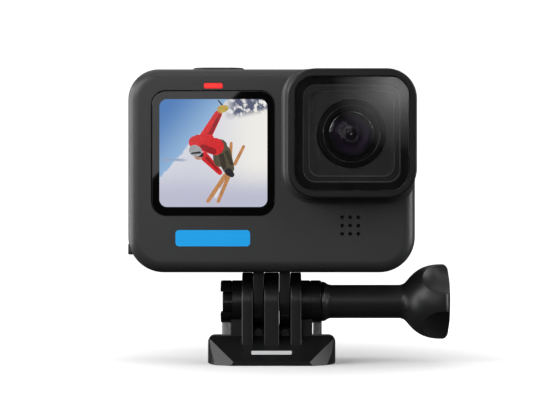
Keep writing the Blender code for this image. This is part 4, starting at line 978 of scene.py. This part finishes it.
DOOR_INNER_X = -0.033
DOOR_BARREL = 0.001
DOOR_CURVE_STEPS = 14
DOOR_EDGE = 0.0003
LATCH_TRAVEL = 0.002

BODY_CURVES = (FRAME_Z[0] + BOTTOM_RADIUS, FRAME_Z[1] - TOP_RADIUS)


def side_profile(height):
    """How far out the -X side of the body lies at this height."""
    lower, upper = BODY_CURVES
    if lower <= height <= upper:
        return FRAME_X[0]
    rise, radius = (lower - height, BOTTOM_RADIUS) if height < lower else (height - upper, TOP_RADIUS)
    return FRAME_X[0] + radius - math.sqrt(radius**2 - rise**2)


def side_door():
    x, y, z = spans("side_door")
    hinge = centre("door_hinge_pin")
    hinge_spot = (hinge[0], hinge[2])
    outline = [(DOOR_INNER_X, z[0])]
    for start, end in ((z[0], BODY_CURVES[0]), (BODY_CURVES[1], hinge[2])):
        for step in range(DOOR_CURVE_STEPS + 1):
            height = start + (end - start) * step / DOOR_CURVE_STEPS
            outline.append((side_profile(height), height))
    outline += arc(hinge_spot, DOOR_BARREL, 180, 0, DOOR_CURVE_STEPS)[1:]
    piece = prism("door_panel", "Y", outline, y, DOOR_EDGE)
    seal_x = spans("door_seal")[0]
    latch = spans("door_latch")
    groove_x = (seal_x[0] - GAP / 2, DOOR_INNER_X + CUT)
    groove = opening("door_seal", "X", GAP / 2, groove_x, 0.0015)
    cut(groove, opening("door_seal", "X", -0.00075, grow(seal_x, CUT), 0.0012))
    slide = (latch[2][0] - LATCH_TRAVEL - GAP, latch[2][1] + GAP)
    cut(
        piece, rod("pin_bore", "Y", hinge_spot, DOOR_PIN_BORE, grow(y, CUT), PIN_STEPS), groove,
        slab("latch_recess", "X", grow(latch[1], GAP), slide, (FRAME_X[0] - CUT, -0.0342), 0.0006),
        slab("latch_slot", "X", (-0.0013, 0.0013), (0.0259, 0.0296), (FRAME_X[0], -0.0336), 0.0003),
    )
    finish(piece, "door", DOOR_RUBBER, "side_door", slot="dark_rubber")
    thumb = slab("latch_slider", "X", latch[1], latch[2], (latch[0][0], -0.0345), 0.0007, low=0.0003)
    join(thumb, block("stem", (-0.0346, -0.0341), (-0.001, 0.001), (0.0286, 0.0294)))
    grip_x = (latch[0][0] - CUT, latch[0][0] + 0.00015)
    grip_z = grow(latch[2], -0.0006)
    cut(
        thumb,
        *[block("grip", grip_x, around(-0.0024 + 0.0012 * index, 0.00035), grip_z) for index in range(5)],
    )
    finish(thumb, "latch", HOUSING, "door_latch", slot="black_plastic")


side_door()

# ------------------------------------------------------------------- fingers

FINGER_RADIUS = 0.0064
SCREW_BORE = 0.0026
LUG_STEPS = 32


def lug(radius, top, end):
    """The outline of an upright lug across X: a half circle round the clamp axis, then straight."""
    points = arc(CLAMP, radius, 0, 180 if top else -180, LUG_STEPS)
    return points + [(-radius, end), (radius, end)]


def fingers():
    for name in ("left", "right"):
        x, y, _ = spans(f"{name}_finger")
        pin_z = centre(f"{name}_finger_pin")[2]
        pivot = (middle(x), pin_z)
        half = (x[1] - x[0]) / 2
        piece = prism(f"{name}_lug", "X", lug(FINGER_RADIUS, False, pin_z), x, 0.00025)
        reach = (y[0] + SKIN_INSET, y[1] - SKIN_INSET)
        join(piece, rod("barrel", "Y", pivot, half - SKIN_INSET, reach, PIN_STEPS * 2))
        cut(
            piece, rod("bore", "X", CLAMP, SCREW_BORE, grow(x, CUT), ROUND_STEPS // 2),
            rod("pin_hole", "Y", pivot, PIN_BORE, grow(reach, CUT), PIN_STEPS),
        )
        finish(piece, "camera", FINGER, f"{name}_finger", slot="black_metal")


fingers()

# -------------------------------------------------------------------- buckle

BASE_Y = spans("mount_buckle")[1]
BASE_TOP = 0.0069
BASE_REAR = 0.005
BASE_HALF_WIDTH = 0.016
BASE_FRONT_HALF_WIDTH = 0.0096
BASE_CURVE_STEPS = 28
BASE_REAR_RADIUS = 0.002
TOE_HEIGHT = 0.0009
SLOPE_TOP_Y = -0.004
SLOPE_REACH = 0.006
FACET_POINT = (0.0095, -0.0134, 0.0009)
FACET_NORMAL = (0.567, -0.691, 0.448)
FACET_CUTTER = 0.04
SHOULDER_RADIUS = 0.0016
PRONG_RADIUS = 0.0073
PRONG_SINK = 0.0035
MIDDLE_PRONG = 0.00187
OUTER_PRONG = (0.0047, 0.0074)
HUB_RADIUS = 0.00535
HUB_END = 0.01245
NUT_HUB_END = 0.0128
SIDES = (1, -1)


def base_outline():
    """Plan of the base: straight toe, quarter-ellipse front corners, small rear corners."""
    points = []
    reach = BASE_HALF_WIDTH - BASE_FRONT_HALF_WIDTH
    for step in range(BASE_CURVE_STEPS + 1):
        angle = math.pi / 2 * step / BASE_CURVE_STEPS
        points.append((BASE_FRONT_HALF_WIDTH + reach * math.sin(angle), BASE_Y[0] * math.cos(angle)))
    corner = (BASE_HALF_WIDTH - BASE_REAR_RADIUS, BASE_REAR - BASE_REAR_RADIUS)
    points += arc(corner, BASE_REAR_RADIUS, 0, 90, CORNER_STEPS)
    return points + [(-x, y) for x, y in reversed(points)]


def corner_facet(side):
    reach = (-FACET_CUTTER / 2, FACET_CUTTER / 2)
    made = block("facet", reach, reach, (0.0, FACET_CUTTER))
    mirror = Vector((side, 1.0, 1.0))
    turn = (Vector(FACET_NORMAL) * mirror).to_track_quat("Z", "Y").to_matrix().to_4x4()
    made.data.transform(Matrix.Translation(Vector(FACET_POINT) * mirror) @ turn)
    return made


def base_block():
    piece = prism("buckle", "Z", base_outline(), (0.0, BASE_TOP), 0.0002)
    slope = (BASE_TOP - TOE_HEIGHT) / (SLOPE_TOP_Y - BASE_Y[0])
    low = TOE_HEIGHT - slope * SLOPE_REACH
    high = BASE_TOP + slope * SLOPE_REACH
    toe = [
        (BASE_Y[0] - SLOPE_REACH, low), (SLOPE_TOP_Y + SLOPE_REACH, high), (BASE_Y[0] - SLOPE_REACH, high),
    ]
    beyond = (BASE_HALF_WIDTH + CUT, BASE_TOP + CUT)
    pivot = (BASE_HALF_WIDTH - SHOULDER_RADIUS, BASE_TOP - SHOULDER_RADIUS)
    shoulder = arc(pivot, SHOULDER_RADIUS, 0, 90, CORNER_STEPS)
    shoulder += [(pivot[0], beyond[1]), beyond, (beyond[0], pivot[1])]
    along = (BASE_Y[0] - CUT, BASE_REAR + CUT)
    cut(
        piece, prism("toe", "X", toe, (-0.02, 0.02)), *[corner_facet(side) for side in SIDES],
        *[prism("shoulder", "Y", [(side * x, z) for x, z in shoulder], along) for side in SIDES],
    )
    return piece


def flare(side):
    """The concave foot that widens an outer prong into the base."""
    inner = OUTER_PRONG[1] - 0.0004
    points = [(inner, PRONG_SINK), (OUTER_PRONG[1] + 0.0008, PRONG_SINK)]
    for step in range(9):
        angle = math.pi / 2 * step / 8
        height = PRONG_SINK + 0.0015 + 0.004 * (1 - math.cos(angle))
        points.append((OUTER_PRONG[1] + 0.0008 * (1 - math.sin(angle)), height))
    points.append((inner, PRONG_SINK + 0.0055))
    return prism("flare", "Y", [(side * x, z) for x, z in points], (-0.0066, 0.0046))


def on_side(side, span):
    return span if side > 0 else (-span[1], -span[0])


def buckle():
    piece = base_block()
    prong = lug(PRONG_RADIUS, True, PRONG_SINK)
    hub_x = middle(OUTER_PRONG)
    webs = []
    ribs = []
    for side in SIDES:
        webs.append(block("web", on_side(side, (0.007, 0.0102)), (-0.003, 0.003), (0.006, 0.011)))
        rib_x = on_side(side, (0.0023, 0.0043))
        ribs.append(slab("rib", "Y", rib_x, (0.006, 0.0086), (-0.003, 0.003), 0.0008))
    join(
        piece,
        slab("rail", "Z", (-0.0082, 0.0082), (0.0045, 0.02), (0.0, 0.0035), (0.0, 0.0, 0.002, 0.002)),
        prism("prong", "X", prong, (-MIDDLE_PRONG, MIDDLE_PRONG), 0.0003),
        *[prism("prong", "X", prong, on_side(side, OUTER_PRONG), 0.0003) for side in SIDES],
        *[flare(side) for side in SIDES], *webs, turned("hub", "X", CLAMP, hub_profile(hub_x, HUB_END)),
        turned("hub", "X", CLAMP, [(-a, r) for a, r in hub_profile(hub_x, NUT_HUB_END)][::-1]), *ribs,
        block("dam", (-0.006, 0.006), (0.0037, 0.0048), (0.006, 0.0095)),
    )
    nut_x = spans("captive_nut")[0]
    cut(
        piece, rod("bore", "X", CLAMP, SCREW_BORE, (-0.017, 0.017), ROUND_STEPS // 2),
        hexagon("pocket", 0.008, (-0.017, nut_x[1] + GAP)),
        block("window", (-0.014, -0.0098), (-PRONG_RADIUS, PRONG_RADIUS), around(CLAMP_Z, 0.0052)),
    )
    finish(piece, "mount", BUCKLE, "mount_buckle", slot="black_plastic")
    nut = hexagon("nut", 0.0076, nut_x)
    cut(nut, rod("thread", "X", CLAMP, SCREW_BORE, grow(nut_x, CUT), ROUND_STEPS // 2))
    soften(nut, 0.0002)
    bake(nut)
    finish(nut, "mount", DARK_STEEL, "captive_nut", slot="steel")


def hub_profile(start, end):
    """A hub with a rounded rim and a shallow turned groove."""
    waist = HUB_RADIUS - 0.00012
    return [
        (start, 0.0), (start, HUB_RADIUS), (end - 0.003, HUB_RADIUS), (end - 0.0029, waist),
        (end - 0.0026, waist), (end - 0.0025, HUB_RADIUS), (end - 0.0004, HUB_RADIUS),
        (end - 0.0001, HUB_RADIUS - 0.0001), (end, HUB_RADIUS - 0.0004), (end, 0.0),
    ]


def hexagon(name, flats, along):
    """A hexagonal bar on the clamp axis with a flat facing front."""
    made = rod(name, "X", (0.0, 0.0), flats / math.sqrt(3), along, 6)
    turn = Matrix.Rotation(math.pi / 6, 4, "X")
    made.data.transform(Matrix.Translation((0.0, 0.0, CLAMP_Z)) @ turn)
    return made


buckle()


def base_print():
    """A plain light bar on the sloping toe."""
    slope = math.atan2(BASE_TOP - TOE_HEIGHT, SLOPE_TOP_Y - BASE_Y[0])
    piece = slab("toe_bar", "Z", (-0.005, 0.005), (0.0, 0.0016), (-0.0002, PRINT_PROUD), 0.0003)
    foot = Vector((0.0, BASE_Y[0] + 0.0027, TOE_HEIGHT + 0.0027 * math.tan(slope)))
    piece.data.transform(Matrix.Translation(foot) @ Matrix.Rotation(slope, 4, "X"))
    finish(piece, "mount", GREY_PRINT, slot="black_plastic")


base_print()

# ------------------------------------------------------------- squeeze arms

ARM_RIBS = 9


def squeeze_arms():
    for name, side in (("left", -1), ("right", 1)):
        x, y, z = spans(f"{name}_latch_arm")
        inner, outer = (x[1], x[0]) if side < 0 else (x[0], x[1])
        skin = outer - side * 0.0003
        span = tuple(sorted((inner, skin)))
        piece = block(f"{name}_squeeze_arm", span, y, (z[0], 0.005), 0.0002)
        tab_y = (0.0145, y[1])
        thick = grow(span, -SKIN_INSET)
        join(piece, slab("tab", "X", grow(tab_y, -SKIN_INSET), (z[0] + SKIN_INSET, z[1]), thick, 0.0008))
        pitch = (tab_y[1] - tab_y[0]) / ARM_RIBS
        ribs = []
        for index in range(ARM_RIBS):
            spot = (skin, tab_y[0] + pitch * (index + 0.5))
            ribs.append(rod("rib", "Z", spot, 0.00028, (z[0] + 0.0008, z[1] - 0.0008), 12))
        for index in range(5):
            across = inner + side * 0.00035 * (index + 0.6)
            ribs.append(
                rod("front_rib", "Z", (across, tab_y[0]), 0.00012, (z[0] + 0.0009, z[1] - 0.0007), 10)
            )
        join(piece, *ribs)
        finish(piece, f"{name}_arm", ARM, f"{name}_latch_arm", slot="arm_plastic")


squeeze_arms()

# ----------------------------------------------------------- washer and knob

KNOB_X = spans("thumb_knob")[0]
KNOB_PROFILE = (
    (0.0132, 0.0), (0.0132, 0.0049), (0.0135, 0.0048), (0.0139, 0.0045), (0.0144, 0.0043), (0.015, 0.0042),
    (0.0322, 0.0042), (0.033, 0.00445), (0.0335, 0.0048), (0.034, 0.00534), (0.0345, 0.00593),
    (0.035, 0.00648), (0.0355, 0.00697), (0.036, 0.0074), (0.0366, 0.00783), (0.0373, 0.00826),
    (0.038, 0.0086), (0.0388, 0.00888), (0.0396, 0.0091), (0.0406, 0.00928), (0.0418, 0.00938),
    (0.043, 0.00938), (0.0434, 0.00925), (0.0438, 0.0089), (0.0441, 0.0084), (0.0445, 0.006),
    (0.04465, 0.003), (0.0447, 0.0),
)
SCOOP_RADIUS = 0.0081
SCOOP_DISTANCE = 0.0144
SCOOP_DOME_X = 0.043
SCOOP_END_X = 0.046
SCOOP_STEPS = 16


def knob():
    piece = turned("knob", "X", CLAMP, KNOB_PROFILE, 128)
    scoop = []
    for step in range(SCOOP_STEPS + 1):
        angle = math.pi / 2 * step / SCOOP_STEPS
        scoop.append((SCOOP_DOME_X - SCOOP_RADIUS * math.cos(angle), SCOOP_RADIUS * math.sin(angle)))
    scoop += [(SCOOP_END_X, SCOOP_RADIUS), (SCOOP_END_X, 0.0)]
    tools = []
    for index in range(4):
        angle = math.tau * (index + 0.5) / 4
        spot = (SCOOP_DISTANCE * math.cos(angle), CLAMP_Z + SCOOP_DISTANCE * math.sin(angle))
        tools.append(turned(f"scoop_{index}", "X", spot, scoop))
    cut(piece, rod("bore", "X", CLAMP, SCREW_BORE, (0.0, 0.0298), ROUND_STEPS // 2), *tools)
    finish(piece, "screw", KNOB, "thumb_knob", slot="black_plastic")
    washer_x = spans("clamp_washer")[0]
    washer_x = (washer_x[0] - 0.00002, KNOB_X[0] - 0.00003)
    rim = [
        (washer_x[0], 0.0027), (washer_x[0], 0.0049), (washer_x[0] + 0.0001, 0.005),
        (washer_x[1] - 0.0001, 0.005), (washer_x[1], 0.0049), (washer_x[1], 0.0027),
    ]
    finish(turned("washer", "X", CLAMP, rim), "washer", DARK_STEEL, "clamp_washer", slot="steel")
    screw_x = spans("clamp_screw")[0]
    finish(threaded("screw_shank", screw_x), "screw", STEEL, "clamp_screw", slot="steel")


def threaded(name, along):
    """A shank with fine turned ridges like a thread."""
    profile = [(along[0], 0.0), (along[0], 0.0021), (along[0] + 0.0003, 0.0024)]
    pitch = 0.0008
    for index in range(int(0.01 / pitch)):
        start = along[0] + 0.0004 + pitch * index
        profile += [(start + pitch * 0.5, 0.00205), (start + pitch, 0.0024)]
    profile += [(along[1], 0.0024), (along[1], 0.0)]
    return turned(name, "X", CLAMP, profile, 48)


knob()

# ------------------------------------------------- CAD nodes that keep their shape

KEPT = (
    (LENS_METAL, ("lens_aperture_stop", "speaker")),
    (INNER_GLASS, ("lens_middle_element", "lens_rear_element")),
    (FILTER_GLASS, ("infrared_filter",)),
    (BOARD, ("sensor_board", "main_board")),
    (CHIP, ("image_sensor", "processor", "memory_card", "battery_sleeve")),
    (STEEL, ("shutter_switch", "mode_switch", "door_hinge_pin", "memory_card_socket", "usb_port")),
    (STEEL, ("left_finger_pin", "right_finger_pin", "heat_sink")),
    (GOLD, ("battery_contacts",)),
    (BATTERY, ("battery",)),
    (SEAL, ("door_seal",)),
    (RUBBER, ("lens_cover_seal",)),
    (DISPLAY_GLASS, ("front_display_panel", "rear_display_panel")),
)
for material, nodes in KEPT:
    for node in nodes:
        for material_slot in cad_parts[node].material_slots:
            material_slot.material = material

# ------------------------------------------------------------------- camera

VIEW_WIDTH = 0.13735
CAMERA_DISTANCE = 0.62
CAMERA_X = 0.00171
CAMERA_Z = 0.0386
SENSOR = 36.0

lens_data = bpy.data.cameras.new("camera")
lens_data.sensor_width = SENSOR
lens_data.lens = SENSOR * CAMERA_DISTANCE / VIEW_WIDTH
camera = bpy.data.objects.new("camera", lens_data)
camera.location = (CAMERA_X, FRONT - CAMERA_DISTANCE, CAMERA_Z)
camera.rotation_euler = (math.pi / 2, 0.0, 0.0)
bpy.context.scene.collection.objects.link(camera)
bpy.context.scene.camera = camera

# ------------------------------------------------------------ stage and light

STAGE_STEPS = 96
STAGE_DROP = 0.00005
# The floor's glow dims round this centre: a painted shadow beside and behind the part.
SHADOW_PAINT_CENTRE = (0.005, 0.018)
SHADOW_PAINT_STRETCH = 1.8
SHADOW_PAINT_REACH = (0.015, 0.106)
SHADOW_PAINT_LEVEL = (0.13, 0.9)
CARD_RADIUS = 0.034
CARD_PLACE = (0.0617, -0.64, 0.1004)
CARD_FADE = ((0.0, 1.0), (1.0, 0.0), (0.19, 1.0), (0.45, 0.45), (0.68, 0.22))
CARD_STRENGTH = 2.0
AIM = (0.0, 0.0, 0.045)
LENS_AIM = (LENS_X, -0.02, LENS_Z)


def sweep():
    """A pale floor that curves up into a backdrop all round, its glow dimmed close to the part as a painted
    shadow.
    """
    mesh = bmesh.new()
    profile = [(reach, 0.0) for reach in (0.05, 0.15, 0.4, 0.9)]
    profile += [(0.9 + a, 0.5 + z) for a, z in arc((0.0, 0.0), 0.5, -90, 0, 12)][1:]
    profile.append((1.4, 3.0))
    turns = [math.tau * step / STAGE_STEPS for step in range(STAGE_STEPS)]
    rows = []
    for reach, height in profile:
        rows.append(
            [mesh.verts.new((reach * math.cos(turn), reach * math.sin(turn), height)) for turn in turns]
        )
    for row, after in zip(rows, rows[1:]):
        for index in range(STAGE_STEPS):
            mesh.faces.new((row[index - 1], row[index], after[index], after[index - 1]))
    mesh.faces.new(rows[0])
    piece = as_object("sweep", mesh)
    piece.location.z = -STAGE_DROP
    made = Surface(
        "pale_paper_painted_shadow", Base_Color=(0.86, 0.86, 0.86), Roughness=0.9, Emission_Color=(1.0, 1.0, 1.0),
    )
    shift = (-SHADOW_PAINT_CENTRE[0], -SHADOW_PAINT_CENTRE[1] / SHADOW_PAINT_STRETCH, 0.0)
    moved = made.mapped(Location=shift, Scale=(1.0, 1 / SHADOW_PAINT_STRETCH, 1.0))
    # Less glow close to the part: a painted shadow on the floor.
    glow = made.ranged(made.length(moved), SHADOW_PAINT_REACH, SHADOW_PAINT_LEVEL, "SMOOTHSTEP")
    made.fill(made.shader, Emission_Strength=glow)
    piece.data.materials.append(made.material)
    piece.data.shade_smooth()
    piece.visible_diffuse = False
    piece.visible_glossy = False
    piece.visible_transmission = False


def soft_card():
    """A small glowing disc, brightest at its centre, that the lens window mirrors."""
    mesh = bmesh.new()
    bmesh.ops.create_circle(mesh, cap_ends=True, segments=ROUND_STEPS, radius=CARD_RADIUS)
    piece = as_object("soft_card", mesh)
    piece.matrix_world = Matrix.Translation(CARD_PLACE) @ Matrix.Rotation(-math.pi / 2, 4, "X")
    made = Surface("card_glow", Base_Color=(0.0, 0.0, 0.0), Emission_Strength=CARD_STRENGTH)
    share = made.maths("DIVIDE", made.length(made.place), CARD_RADIUS)
    fade = made.ramp(share, [(reach, (level,) * 3) for reach, level in CARD_FADE])
    made.fill(made.shader, Emission_Color=fade)
    piece.data.materials.append(made.material)
    piece.visible_camera = False
    piece.visible_shadow = False


def softbox(name, location, target, size, power, turn=0.0):
    data = bpy.data.lights.new(name, "AREA")
    data.shape = "RECTANGLE"
    data.size, data.size_y = size
    data.energy = power
    lamp = bpy.data.objects.new(name, data)
    lamp.location = location
    aim = (Vector(target) - Vector(location)).to_track_quat("-Z", "Y")
    lamp.rotation_euler = (aim.to_matrix().to_4x4() @ Matrix.Rotation(turn, 4, "Z")).to_euler()
    bpy.context.scene.collection.objects.link(lamp)
    return lamp


def across_light(location, target, length):
    """Turns a strip light at its target with its long side in one direction."""
    back = (Vector(location) - Vector(target)).normalized()
    long_side = Vector(length) - back * Vector(length).dot(back)
    long_side.normalize()
    return Matrix((long_side, back.cross(long_side), back)).transposed().to_euler()


sweep()
world = bpy.data.worlds.new("studio")
world.use_nodes = True
background = world.node_tree.nodes["Background"]
background.inputs["Color"].default_value = (1.0, 1.0, 1.0, 1.0)
background.inputs["Strength"].default_value = 0.04
bpy.context.scene.world = world
bpy.context.scene.view_settings.view_transform = "Standard"
soft_card()
softbox("left_side", (-0.8, -0.1, 0.2), AIM, (0.4, 0.7), 3.97)
softbox("left_rim", (-0.55, 0.25, 0.12), AIM, (0.2, 0.5), 1.66)
softbox("right_side", (0.8, -0.1, 0.2), AIM, (0.4, 0.7), 4.2)
softbox("overhead", (0.0, 0.05, 0.95), (0.0, 0.0, 0.0), (1.1, 1.1), 2.0)
softbox("top_back", (0.0, 0.75, 0.8), AIM, (1.2, 0.5), 1.2)
softbox("key", (-0.28, -0.25, 0.22), AIM, (0.25, 0.25), 0.81)
softbox("upper_left_card", (-0.145, -0.64, 0.182), (-0.145, 0.0, 0.182), (0.3, 0.3), 0.415, math.pi / 4)
crescent = softbox("crescent", (0.4, -0.47, 0.437), LENS_AIM, (1.3, 0.03), 1.55)
crescent.rotation_euler = across_light(crescent.location, LENS_AIM, (-1.0, 0.0, 1.0))
